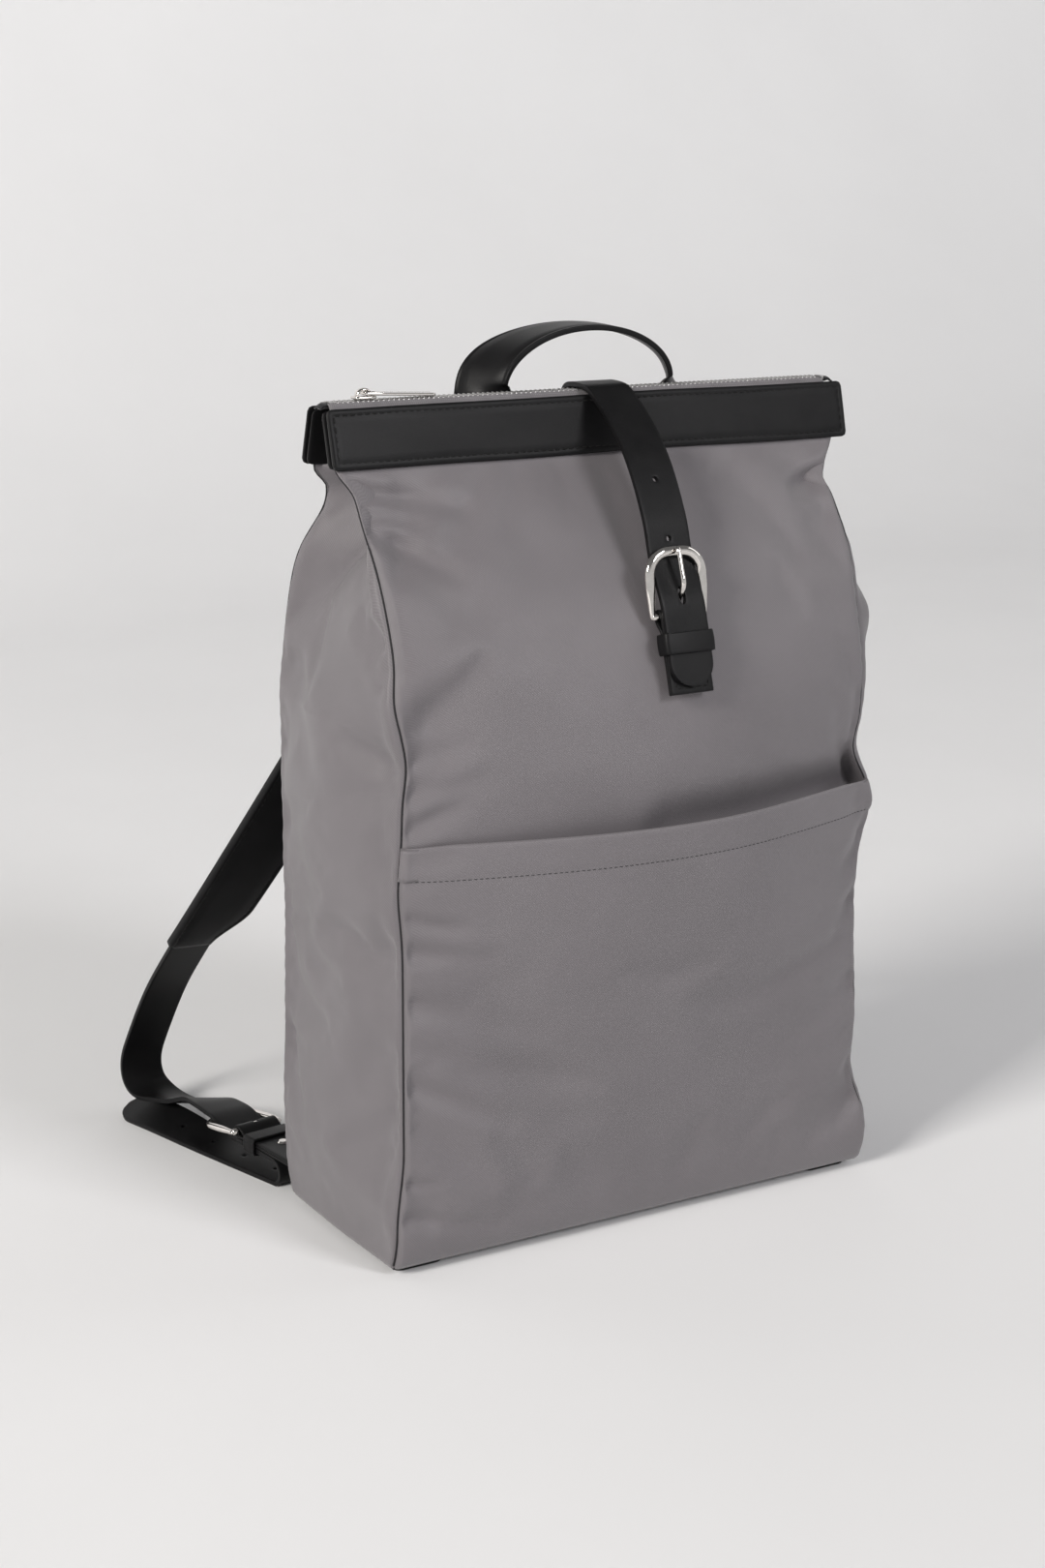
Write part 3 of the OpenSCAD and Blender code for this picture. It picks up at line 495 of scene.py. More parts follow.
def stitch_part(points, normals, pitch=3.4, long=2.7, wide=0.75, high=0.5, sink=0.1):
    """A row of stitches along a line on a surface."""
    s = lengths(points)
    count = max(1, int(s[-1] / pitch))
    at = (np.arange(count) + 0.5) * s[-1] / count
    n = unit(at_lengths(at, s, np.broadcast_to(normals, points.shape)))
    d = unit(at_lengths(at, s, headings(points)))
    around = np.linspace(0, 2 * np.pi, 6, endpoint=False)
    x, r = np.array([(-0.5, 0.25), (-0.36, 0.8), (0.0, 1.0), (0.36, 0.8), (0.5, 0.25)]).T[:, :, None]
    side_by, out_by = np.cos(around) * r * wide / 2, np.sin(around) * r * high - sink
    moves = ((d, x * long), (np.cross(d, n), side_by), (n, out_by))
    made = at_lengths(at, s, points)[:, None, None] + sum(v[:, None, None] * m[..., None] for v, m in moves)
    faces = tube_faces(*out_by.shape)
    faces = [tuple(i + k * out_by.size for i in f) for k in range(count) for f in faces]
    return made.reshape(-1, 3), faces


def stitches(name, rows, body, material, slot="black_leather", **sizes):
    return joined_piece(name, [stitch_part(p, n, **sizes) for p, n in rows], material, slot, body)


def runs(corners, count):
    """Straight lines from each corner to the next, as rows of points."""
    return [np.linspace(a, b, count) for a, b in zip(corners[:-1], corners[1:])]


# Materials
class Nodes:
    """Adds nodes to a new material, with constant values set on the sockets."""

    def __init__(self, name, coords):
        self.material = bpy.data.materials.new(name)
        self.material.use_nodes = True
        self.tree = self.material.node_tree
        self.shader = self.tree.nodes["Principled BSDF"]
        self.where = self.add("ShaderNodeTexCoord").outputs[coords]

    def add(self, kind, links=(), **values):
        node = self.tree.nodes.new(kind)
        for key, value in values.items():
            if key[0].isupper():
                node.inputs[key.replace("_", " ")].default_value = value
            else:
                setattr(node, key, value)
        for socket, source in dict(links).items():
            self.tree.links.new(source, node.inputs[socket])
        return node

    def set(self, **values):
        for key, value in values.items():
            self.shader.inputs[key.replace("_", " ")].default_value = value

    def link(self, source, socket):
        self.tree.links.new(source, self.shader.inputs[socket])

    def texture(self, kind, output, **values):
        return self.add(kind, {"Vector": self.where}, **values).outputs[output]

    def noise(self, scale, detail=3.0, rough=0.55):
        return self.texture("ShaderNodeTexNoise", "Fac", Scale=scale, Detail=detail, Roughness=rough)

    def wave(self, way, scale, uneven, **more):
        return self.texture("ShaderNodeTexWave", "Fac", bands_direction=way, Scale=scale,
                            Distortion=uneven, **more)

    def ramp(self, value, low, high, at=(0.3, 0.7)):
        node = self.add("ShaderNodeValToRGB", {"Fac": value})
        for i, colour in enumerate((low, high)):
            node.color_ramp.elements[i].position = at[i]
            node.color_ramp.elements[i].color = (*colour, 1.0)
        return node.outputs["Color"]

    def span(self, value, low, high):
        return self.add("ShaderNodeMapRange", {"Value": value}, To_Min=low, To_Max=high).outputs["Result"]

    def mix(self, factor, a, b, blend):
        node = self.add("ShaderNodeMix", data_type="RGBA", blend_type=blend)
        node.inputs[0].default_value = factor
        self.tree.links.new(a, node.inputs[6])
        self.tree.links.new(b, node.inputs[7])
        return node.outputs[2]

    def bump(self, height, strength, distance, under=None):
        links = {"Height": height}
        if under is not None:
            links["Normal"] = under
        return self.add("ShaderNodeBump", links, Strength=strength, Distance=distance).outputs["Normal"]

    def finish(self, colour, normal, grain, smoothest, roughest, **values):
        """Links the shader. The roughness follows the grain."""
        self.link(colour, "Base Color")
        self.link(normal, "Normal")
        self.link(self.span(grain, smoothest, roughest), "Roughness")
        self.set(**values)
        return self.material


def grey(value):
    return (value, value, value)


def twill(name, light, dark, pitch):
    """Fine diagonal weave, with threads, slubs and a soft sheen."""
    n = Nodes(name, "UV")
    wave = n.wave("DIAGONAL", 0.444 / pitch, 0.6, Detail=1.0, Detail_Scale=2.0)
    cross = n.wave("X", 0.314 / (pitch * 0.7), 0.4)
    fibre = n.noise(2600.0, 2.0)
    ground = n.ramp(n.noise(14.0), dark, light, (0.25, 0.75))
    threads = n.mix(0.14, ground, n.ramp(wave, grey(0.25), grey(0.75), (0.1, 0.9)), "OVERLAY")
    slubs = n.mix(0.12, threads, n.ramp(fibre, grey(0.3), grey(0.7)), "OVERLAY")
    normal = n.bump(cross, 0.06, 0.0003, n.bump(wave, 0.22, 0.0003))
    return n.finish(slubs, normal, fibre, 0.42, 0.56, Sheen_Weight=0.22, Sheen_Roughness=0.45,
                    Specular_IOR_Level=0.38)


def plain_weave(name, light, dark, pitch):
    """Threads that cross at right angles."""
    n = Nodes(name, "UV")
    one, two = [n.wave(way, 0.314 / pitch, 0.5) for way in "XY"]
    both = n.mix(1.0, one, two, "MULTIPLY")
    broad = n.noise(60.0)
    colour = n.mix(0.35, n.ramp(broad, dark, light), n.ramp(both, grey(0.2), grey(0.8)), "OVERLAY")
    return n.finish(colour, n.bump(both, 0.4, 0.0003), broad, 0.72, 0.88, Sheen_Weight=0.15,
                    Specular_IOR_Level=0.25)


def leather(name):
    """Smooth black leather with a fine pebble, faint scuffs and a satin finish."""
    n = Nodes(name, "UV")
    pebble = n.texture("ShaderNodeTexVoronoi", "Distance", feature="SMOOTH_F1", Scale=1500.0, Smoothness=0.6)
    scuff = n.noise(45.0, 5.0, 0.6)
    colour = n.ramp(scuff, (0.0052, 0.0052, 0.0057), (0.0090, 0.0088, 0.0093))
    normal = n.bump(n.noise(3200.0, 2.0), 0.05, 0.0002, n.bump(pebble, 0.13, 0.0003))
    return n.finish(colour, normal, scuff, 0.36, 0.48, Specular_IOR_Level=0.15)


def metal(name, colour, rough):
    """Polished plating with faint wear."""
    n = Nodes(name, "Object")
    wear = n.noise(420.0, 4.0, 0.6)
    worn = n.ramp(wear, tuple(0.9 * c for c in colour), colour)
    normal = n.bump(n.noise(160.0, 2.0), 0.03, 0.0004)
    return n.finish(worn, normal, wear, rough - 0.05, rough + 0.08, Metallic=1.0)


def matte(name, low, high, rough, scale, strength):
    n = Nodes(name, "Object")
    grain = n.noise(scale, 4.0)
    colour = n.ramp(grain, low, high)
    normal = n.bump(grain, strength, 0.0005)
    return n.finish(colour, normal, grain, rough - 0.08, rough + 0.08, Specular_IOR_Level=0.3)


CLOTH = twill("grey_twill", (0.160, 0.148, 0.157), (0.140, 0.129, 0.137), 0.0009)
TAPE = plain_weave("zip_tape_weave", (0.21, 0.20, 0.21), (0.16, 0.152, 0.16), 0.0011)
LINING = plain_weave("black_lining", (0.014, 0.014, 0.016), (0.008, 0.008, 0.01), 0.0009)
LEATHER = leather("black_leather")
THREAD = matte("black_thread", grey(0.003), grey(0.006), 0.8, 900.0, 0.3)
# The seam tube's dark colour is part thread, part painted shadow in the seam's groove.
SEAM = matte("seam_thread_and_painted_shade", (0.012, 0.012, 0.013), (0.026, 0.025, 0.027), 0.8, 900.0, 0.3)
GREY_THREAD = matte("grey_thread", (0.02, 0.02, 0.021), (0.045, 0.044, 0.046), 0.7, 900.0, 0.3)
NICKEL = metal("polished_nickel", (0.74, 0.71, 0.68), 0.06)
TEETH = metal("zip_metal", (0.50, 0.49, 0.48), 0.30)
RUBBER = matte("black_rubber", grey(0.008), grey(0.016), 0.6, 700.0, 0.25)
BOARD = matte("stiff_board", grey(0.05), (0.09, 0.085, 0.08), 0.8, 500.0, 0.3)
FOAM = matte("foam", grey(0.07), grey(0.12), 0.9, 1400.0, 0.6)


# Creases of the cloth: from one point to another on a panel, with a width and a depth inwards
FRONT_CREASES = [
    (-146, 397, -92, 388, 6, 4.6), (-146, 387, -118, 382, 4.5, 3.6), (-145, 380, -108, 358, 6, 3.8),
    (-60, 366, -30, 356, 22, 2.0), (-128, 366, -96, 330, 14, 2.2),
    (149, 390, 122, 383, 6, 5.5), (138, 372, 92, 342, 17, 2.4), (149, 252, 138, 292, 8, 2.4),
    (-149, 270, -116, 277, 7, 2.6), (-149, 254, -110, 262, 8, 2.6), (-132, 294, -118, 288, 15, 1.8),
    (-148, 238, -120, 247, 6, 1.8), (148, 236, 126, 264, 7, 2.6),
    (-149, 193, -120, 186, 5, 3.0), (-149, 176, -106, 169, 8, 3.6), (-149, 150, -116, 146, 9, 2.6),
    (-149, 107, -92, 78, 8, 4.2), (-149, 52, -130, 50, 4, 2.0), (-148, 34, -92, 20, 6, 2.6),
    (-100, 148, -44, 46, 26, 2.6),
    (149, 205, 134, 178, 8, 2.4), (149, 166, 131, 150, 8, 2.8), (147, 48, 127, 33, 6, 3.0),
    (149, 112, 128, 120, 10, 1.8),
]
DENTS_BEHIND_POCKET = [(144, 228, 0, 226, 17, 10.0)]
BACK_CREASES = [
    (-148, 396, -104, 380, 8, 3.0), (148, 396, 104, 380, 8, 3.0), (-149, 210, -112, 204, 9, 2.2),
    (149, 230, 112, 222, 9, 2.2), (-149, 96, -110, 80, 9, 2.4), (149, 120, 112, 104, 9, 2.4),
    (-60, 366, 60, 362, 18, 1.6),
]
SIDE_CREASES = [
    (16, 268, 52, 282, 9, 2.0), (18, 252, 58, 244, 9, 1.6), (12, 176, 50, 168, 10, 1.8),
    (104, 300, 66, 236, 15, 2.6), (96, 200, 60, 120, 18, 2.2), (20, 118, 66, 70, 14, 2.0),
    (118, 96, 90, 40, 12, 2.0), (10, 330, 40, 352, 9, 1.8),
]

# Bulges: (height, reach, amount). The first two move the front seams, the third swells the right gusset
LEFT_BULGES = [(268, 14, -2.4), (300, 14, 2.8), (205, 20, 2.3), (385, 18, 2), (407, 9, 4.5)]
RIGHT_BULGES = [(216, 20, 8), (95, 30, 3.5), (355, 25, 3), (399, 8, 3), (388, 5, -2.5), (247, 13, -4.5)]
RIGHT_SWELL = [(318, 44, 0.47), (247, 14, 0.26), (45, 26, 0.3)]

# How strong the wrinkles are
CREASE_GAIN = 1.5
PUCKER = 0.18
PUCKER_PITCH = 10.5
FOLD_GAIN = 1.3


def creases(x, z, strokes):
    """Depth of soft creases, each deepest at its first end, with a low ridge on both sides."""
    total = np.zeros(np.broadcast(x, z).shape)
    for ax, az, bx, bz, wide, deep in strokes:
        dx, dz = bx - ax, bz - az
        s = clamp01(((x - ax) * dx + (z - az) * dz) / (dx * dx + dz * dz))
        q = ((x - ax - s * dx) ** 2 + (z - az - s * dz) ** 2) / wide ** 2
        total += deep * (1 - 0.7 * s) * (1 - 0.55 * q) * np.exp(-q)
    return CREASE_GAIN * total


def slack(x, z, phase):
    """Slow unevenness of hanging cloth."""
    return (0.7 * np.sin(x / 31 + z / 57 + phase) + 0.5 * np.sin(z / 23 - x / 49 + 2.1 * phase)
            + 0.3 * np.sin(x / 17 + z / 29 + 3.7 * phase))


def gathers(d, s):
    """Fine puckers that the stitching draws along a seam, at a distance from it."""
    return PUCKER * np.exp(-d / 8) * np.sin(2 * np.pi * s / PUCKER_PITCH + 1.7 * np.sin(s / 23))


def front_half(z, side):
    """Half width of the bag at a front seam, which the filling draws in."""
    drawn = smooth((z - 25) / 45) * smooth((BAND_Z + 5 - z) / 18)
    amount, uneven = (4, LEFT_BULGES) if side < 0 else (14, RIGHT_BULGES)
    return HALF_W - amount * drawn + bulges(z, uneven)


def front_halves(u, z):
    return np.where(u < 0, front_half(z, -1), front_half(z, 1))


def rear_half(z):
    """Half width of the bag at a rear seam, drawn in under the band."""
    return HALF_W + 1.5 - 11 * bump(z, 388, 20) * smooth((BAND_Z - z) / 12) + 2.5 * bump(z, 60, 50)


SEAM_IN = 1.7
SEAM_BACK = 1.9
SEAM_WIDE = 2.1
LOW_IN = 1.0


def seam_dip(d):
    """How far a seam draws the cloth in at a distance from it, as a share of the most."""
    return np.exp(-(d / SEAM_WIDE) ** 2)


def panel_points(u, z, outer_y, sign, wrinkle, edge_y=0.0):
    """Points of a front or back panel. u runs from one side seam to the other."""
    half = front_halves(u, z) if sign < 0 else rear_half(z)
    d = (1 - np.abs(u)) * HALF_W
    seam = seam_dip(d)
    calm = smooth((BAND_Z - z) / 7) * smooth((z - BASE_Z) / 10)
    depth = calm * (wrinkle * smooth(d / 7) + gathers(d, z) * smooth(d / 2))
    low = seam_dip(z - BASE_Z)
    y = outer_y - sign * (depth + (SEAM_BACK + edge_y) * seam * smooth((BAND_Z + 4 - z) / 8) + LOW_IN * low)
    return columns(u * half - np.sign(u) * SEAM_IN * seam, y, z + LOW_IN * low)


# Cloth simulation: each panel is cut a little larger than its frame, held at its seams and blown out
SIM_COLS = 61
SIDE_SIM_COLS = 27
SIM_ZS = np.linspace(BASE_Z, BAND_Z, 85)
SIM_STEPS = 24
CUT_LARGER = 0.010
SIM_CLOTH = {
    "vertex_group_mass": "held", "shrink_min": -CUT_LARGER, "quality": 6, "mass": 0.3,
    "tension_stiffness": 30, "compression_stiffness": 30, "shear_stiffness": 10, "bending_stiffness": 3,
    "use_pressure": True, "uniform_pressure_force": 3,
}
SLOW_REACH = 5
MOST_WRINKLE = 6
WRINKLE_GAIN = 1.25


def blurred(field, reach):
    """Mean of a field over a square, three times, for its slow part."""
    for axis in (0, 1):
        size = field.shape[axis]
        pad = [(reach, reach) if k == axis else (0, 0) for k in (0, 1)]
        for _ in range(3):
            wide = np.pad(field, pad, mode="edge")
            parts = [np.take(wide, np.arange(k, k + size), axis=axis) for k in range(2 * reach + 1)]
            field = sum(parts) / len(parts)
    return field


def drape(rest, axis):
    """Wrinkles that the cloth takes, as a field of heights along one axis."""
    rows, cols = rest.shape[:2]
    obj = mesh_object("drape", rest.reshape(-1, 3), grid_faces(rows, cols))
    held = np.zeros((rows, cols), bool)
    held[:, 0] = held[:, -1] = held[0] = held[-1] = True
    obj.vertex_groups.new(name="held").add(np.flatnonzero(held).tolist(), 1.0, "REPLACE")
    cloth = obj.modifiers.new("cloth", "CLOTH")
    cloth.point_cache.frame_end = SIM_STEPS
    for key, value in SIM_CLOTH.items():
        setattr(cloth.settings, key, value)
    cloth.settings.effector_weights.gravity = 0.0
    for step in range(1, SIM_STEPS + 1):
        bpy.context.scene.frame_set(step)
    made = np.zeros(rows * cols * 3)
    obj.evaluated_get(bpy.context.evaluated_depsgraph_get()).data.vertices.foreach_get("co", made)
    bpy.data.objects.remove(obj)
    bpy.context.scene.frame_set(1)
    moved = made.reshape(rest.shape)[..., axis] / MM - rest[..., axis]
    return np.clip(moved - blurred(moved, SLOW_REACH), -MOST_WRINKLE, MOST_WRINKLE)


def spread(field, cols_at, zs):
    """A simulated field at the columns and heights of a finer mesh."""
    rows_at = up_side(zs) * (len(field) - 1)
    return cubic(cubic(field, rows_at).T, clamp01(cols_at) * (field.shape[1] - 1)).T


def settle(z):
    """Wrinkles fade out at the stiff base."""
    return WRINKLE_GAIN * smooth((z - BASE_Z) / 55)


def front_wrinkles():
    u, z = np.meshgrid(np.linspace(-1, 1, SIM_COLS), SIM_ZS)
    x = u * HALF_W
    full = (SEAT + CLOTH_Y + pocket_full(z) * crown(x)) * (1 - smooth((z - POCKET_H + 4) / 40))
    return drape(columns(u * front_halves(u, z), front_y(x, z) - full, z), 1)


def back_wrinkles():
    u, z = np.meshgrid(np.linspace(1, -1, SIM_COLS), SIM_ZS)
    return drape(columns(u * rear_half(z), back_y(u * HALF_W, z), z), 1)


def side_columns(n, fine):
    """Columns across a panel, closer together at both edges."""
    edge = EDGE_STEPS / fine
    return np.concatenate([edge, np.linspace(6 / fine, 1 - 6 / fine, n), 1 - edge[::-1]])


def heights(top, n):
    """Heights of a panel's rows, closer together at its base."""
    return np.concatenate([BASE_Z + EDGE_STEPS, np.linspace(BASE_Z + 6, top, n)])


PANEL_US = 2 * side_columns(110, BODY_W) - 1


def front_grid(sim, zs, strokes):
    """Grid of the front's cloth, and the depth of its wrinkles."""
    u, z = np.meshgrid(PANEL_US, zs)
    x = u * HALF_W
    wrinkle = creases(x, z, strokes) + 0.6 * slack(x, z, 0.3)
    return u, x, z, wrinkle + settle(z) * spread(sim, (PANEL_US + 1) / 2, zs)


def front_panel(sim):
    u, x, z, wrinkle = front_grid(sim, heights(TONGUE_Z, 165), FRONT_CREASES + DENTS_BEHIND_POCKET)
    return shell_piece("front_panel_cloth", panel_points(u, z, front_y(x, z), -1, wrinkle), "front_panel")


def back_panel(sim):
    zs = heights(TONGUE_Z, 140)
    u, z = np.meshgrid(-PANEL_US, zs)
    x = u * HALF_W
    wrinkle = 0.6 * creases(x, z, BACK_CREASES) + 0.5 * slack(x, z, 1.9)
    wrinkle -= 0.45 * settle(z) * spread(sim, (PANEL_US + 1) / 2, zs)
    return shell_piece("back_panel_cloth", panel_points(u, z, back_y(x, z), 1, wrinkle), "back_panel")


def pocket(sim):
    zs = heights(POCKET_H, 92)
    hem_z = POCKET_H - HEM_H
    u, x, z, wrinkle = front_grid(sim, zs, FRONT_CREASES)
    full = pocket_full(z) * crown(x)
    hem_ridge = 0.35 * smooth((z - hem_z) / 1.5) - 0.5 * bump(z, hem_z, 1.3)
    outer = front_y(x, z) - SEAT - full - CLOTH_Y - hem_ridge
    out = panel_points(u, z, outer, -1, wrinkle, CLOTH_Y + SEAT)
    room = np.minimum(2.4, 0.2 + 0.75 * full[-1])[:, None]
    rows = list(out)
    for a in np.radians([45, 90, 135]):
        rows.append(out[-1] + room / 2 * ((1 - math.cos(a)) * Y_AXIS + math.sin(a) * Z_AXIS))
    rows += [row + room * Y_AXIS for row in out[:-9:-1]]
    obj = shell_piece("front_pocket_cloth", np.array(rows), "front_pocket", 0.9)
    line = out[int(np.argmin(np.abs(zs - hem_z)))]
    thread = stitches("pocket_hem_stitches", [(line, -Y_AXIS)], "bag", GREY_THREAD, "shell_cloth",
                      pitch=2.9, long=2.1, wide=0.6, high=0.4)
    return obj, thread


def gusset_points(v, z, side, wrinkle):
    """Points of a side panel, from the front seam to the rear seam, folded inwards at its top."""
    a, b = front_seam_y(z), rear_seam_y(z)
    m = 0.66 - 0.40 * smooth((z - BAND_Z + 62) / 46)
    t = np.where(v < m, v / m, (1 - v) / (1 - m))
    fold = FOLD_GAIN * fold_reach(z) * t
    deep = b - a
    edge = np.minimum(v, 1 - v) * deep
    seam = seam_dip(edge)
    calm = smooth((BAND_Z - z) / 14) * smooth((z - BASE_Z) / 10)
    depth = calm * (wrinkle * smooth(edge / 9) + gathers(edge, z) * smooth(edge / 2))
    low = seam_dip(z - BASE_Z)
    f = smooth(v / (0.6 - bulges(z, RIGHT_SWELL if side > 0 else [])))
    half = front_half(z, side) * (1 - f) + rear_half(z) * f
    welt = (2.6 * bump(edge, 7.5, 5) * np.where(v < 0.5, 1, 0.5) * smooth((z - 12) / 25)
            * (1 + 0.25 * np.sin(z / 9 + 1.3 * np.sin(z / 37))))
    x = half + SIDE_BELLY * np.sin(np.pi * v) * belly(z) - fold - depth + welt - SEAM_IN * seam - LOW_IN * low
    y = a + deep * v + np.where(v < 0.5, 1, -1) * SEAM_BACK * seam
    return columns(x, y, z + LOW_IN * low)


def gusset(side):
    node = "left_gusset" if side < 0 else "right_gusset"
    v, z = np.meshgrid(np.linspace(0, 1, SIDE_SIM_COLS), SIM_ZS)
    sim = drape(gusset_points(v, z, side, 0 * z), 0)
    vs = side_columns(46, BODY_D)
    vs = vs if side > 0 else vs[::-1]
    zs = heights(BAND_Z - SEAT, 160)
    v, z = np.meshgrid(vs, zs)
    across = v * BODY_D
    wrinkle = creases(across, z, SIDE_CREASES) + 0.7 * slack(across, z, 2.6 + side)
    wrinkle -= settle(z) * spread(sim, vs, zs)
    return shell_piece(node + "_cloth", gusset_points(v, z, side, wrinkle) * [side, 1, 1], node)


def seam_lines():
    """Dark tube at the bottom of each seam: part thread, part painted shadow of the seam's groove."""
    zs = np.linspace(BASE_Z + 3, BAND_Z + 2, 150)
    lines = []
    for side in (-1, 1):
        lines.append(columns(side * (front_half(zs, side) - SEAM_IN), front_seam_y(zs) + SEAM_BACK, zs))
        lines.append(columns(side * (rear_half(zs) - SEAM_IN), rear_seam_y(zs) - SEAM_BACK, zs))
    xs = np.linspace(-HALF_W + SEAM_IN, HALF_W - SEAM_IN, 80)
    for y in (front_seam_y(BASE_Z) + LOW_IN, rear_seam_y(BASE_Z) - LOW_IN):
        lines.append(columns(xs, y, BASE_Z + LOW_IN))
    parts = []
    for line in lines:
        d = headings(line)
        side = unit(np.cross(d, [0.3, 0.5, 0.1]))
        parts.append(tube_part(line, side, np.cross(side, d), 0.5, 0.5, 6))
    return joined_piece("painted_seam_shadow_and_thread", parts, SEAM, "shell_cloth", "bag")


def base():
    y0, y1 = front_seam_y(BASE_Z), rear_seam_y(BASE_Z)
    x, v = np.meshgrid(-HALF_W + BODY_W * side_columns(60, BODY_W), side_columns(26, BODY_D))
    y = y0 + (y1 - y0) * v
    dx = HALF_W - np.abs(x)
    dy = np.minimum(v, 1 - v) * (y1 - y0)
    ex, ey = seam_dip(dx), seam_dip(dy)
    z = BASE_Z + LOW_IN * np.maximum(ex, ey) + 0.25 * slack(x, y, 4.0) * smooth(np.minimum(dx, dy) / 12)
    points = columns(x - np.sign(x) * SEAM_IN * ex, y + np.where(v < 0.5, 1, -1) * LOW_IN * ey, z)
    return shell_piece("base_panel_cloth", points, "base_panel", flip=True)


def ring_points(half, y0, y1, r, z, arc=8):
    """Level ring with round corners."""
    ring = rounded(2 * half, y1 - y0, r, arc) + [0, (y0 + y1) / 2]
    return columns(*ring.T, z)


def cup(name, rings, thick, node, edge=0.0):
    """Open bag of lining cloth, from rings, with a closed floor."""
    middle = rings[0].mean(0)
    floor = [middle + (rings[0] - middle) * f for f in (0.05, 0.5, 0.9)]
    points = np.array(floor + list(rings))
    obj = grid_object(name, points, flat_uv(points), loop=True)
    thicken(obj, thick, -1.0, edge)
    return dress(obj, LINING, "lining_cloth", "bag", [node])


def lining():
    rings = []
    for z in [9.7, *np.linspace(29, BAND_Z - 4, 46)]:
        half = HALF_W - 14 * smooth((z - 25) / 45) - FABRIC_T - LINING_GAP - fold_reach(z)
        y0 = front_seam_y(z) + CLOTH_Y + LINING_GAP + 14 * bump(z, 236, 24)
        y1 = rear_seam_y(z) - CLOTH_Y - LINING_GAP - FOAM_T * (1 - lean(z))
        ring = ring_points(half, y0, y1, 12, z)
        calm = smooth((BAND_Z - z) / 30) * smooth((z - 10) / 30)
        ring[:, :2] *= 1 - 0.006 * calm * (1 + np.sin(ring[:, 0] / 9 + z / 21))[:, None]
        rings.append(ring)
    return cup("lining_cloth", rings, 0.8, "lining")


def sleeve():
    (_, y0, z0), (half, y1, z1) = np.array(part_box("device_sleeve")) / MM
    rings = [ring_points(half - 3, y0, y1, 4, z0)]
    rings += [ring_points(half, y0, y1, 4, z) for z in (z0 + 3, *np.linspace(z0 + 12, z1, 16))]
    return cup("device_sleeve_padded", rings, 2.3, "device_sleeve", 0.7)


def foam():
    zs = np.linspace(BASE_Z + TUCK_H, SHOULDER_Z, 30)
    x, z = np.meshgrid(np.linspace(-HALF_W + 10, HALF_W - 10, 34), zs)
    points = columns(x, back_y(x, z) - CLOTH_Y - 2 * SEAT - FOAM_T / 2, z)
    obj = grid_object("back_foam_pad", points, flat_uv(points), flip=True)
    thicken(obj, FOAM_T - 0.4, 0.0, 1.2)
    return dress(obj, FOAM, "foam", "bag", ["back_foam"])


# Bands
def to_rear(points):
    out = np.array(points, float)
    out[..., 1] = 2 * TOP_Y - out[..., 1]
    return out


def band_surface(x, u, n):
    return columns(x, *band_pt(u, n))


def band_wave(x):
    return 0.35 * np.sin(x / 47 + 0.8) + 0.2 * np.sin(x / 21)


def band_leaf(name, node, inner_n, t, lift, rear):
    """Leather strip with round corners and edges, and a channel for the stitching."""
    r = 2.6
    half, height = BAND_L / 2, BAND_H - lift
    near_edge = [0, 0.35, 0.9, 1.8, BAND_SEAM - 0.5, BAND_SEAM, BAND_SEAM + 0.5]
    us = np.array(near_edge + list(np.linspace(7, height - 7, 9)) + [height - g for g in reversed(near_edge)])
    side = np.array(near_edge + [6.0, 9.0])
    xs = np.concatenate([-half + side, np.linspace(-half + 12, half - 12, 96), half - side[::-1]])
    x, u = np.meshgrid(xs, us)
    dx, du = half - np.abs(x), np.minimum(u, height - u)
    edge = np.minimum(dx, du)
    on_line = (np.abs(edge - BAND_SEAM) < 0.1) & (np.maximum(dx, du) > BAND_SEAM - 0.6)
    corner = np.maximum(0, 1 - dx / r) * np.maximum(0, 1 - du / r) * r * 0.3
    x_in = x - np.sign(x) * corner
    u_in = u + np.where(u < height / 2, 1, -1) * corner + lift + band_wave(x)
    uneven = 0.16 * np.sin(x / 13 + u / 7) + 0.2 * np.sin(x / 31 - u / 11)
    outer = band_surface(x_in, u_in, inner_n + t - 0.6 * bump(edge, 0, 0.5) - 0.14 * on_line + uneven)
    inner = band_surface(x_in, u_in, inner_n + 0.2 * bump(edge, 0, 0.55))
    turn = to_rear if rear else np.array
    count = x.size
    faces = grid_faces(*x.shape)
    faces += [tuple(i + count for i in reversed(f)) for f in faces]
    index = np.arange(count).reshape(x.shape)
    rim = np.concatenate([index[0], index[1:, -1], index[-1, -2::-1], index[-2:0:-1, 0]]).tolist()
    faces += [(b, a, a + count, b + count) for a, b in zip(rim, rim[1:] + rim[:1])]
    points = turn(np.concatenate([outer.reshape(-1, 3), inner.reshape(-1, 3)]))
    uv = columns(x, u).reshape(-1, 2)
    obj = mesh_object(name, points, faces, np.concatenate([uv, uv + [0, 40]]), flip=rear)
    leather_piece(obj, "bag", node)
    far_x, far_u = half - BAND_SEAM, height - BAND_SEAM
    corners = [(-far_x, BAND_SEAM), (far_x, BAND_SEAM), (far_x, far_u), (-far_x, far_u), (-far_x, BAND_SEAM)]
    lines = [band_surface(lx, lu + lift + band_wave(lx), inner_n + t - 0.1)
             for lx, lu in (line.T for line in runs(corners, 60))]
    return [(turn(line), REAR_OUT if rear else FRONT_OUT) for line in lines]


def bands():
    rows = []
    for rear, node in ((False, "front_band"), (True, "rear_band")):
        rows += band_leaf(node + "_leather", node, FABRIC_T / 2 + SEAT, BAND_T, 0.0, rear)
        band_leaf(node + "_facing_leather", node + "_facing", FACING_N - FACING_T, FACING_T, 1.5, rear)
    stitches("band_stitches", rows, "bag", THREAD, pitch=4.0, long=2.9, wide=1.0, high=0.6)


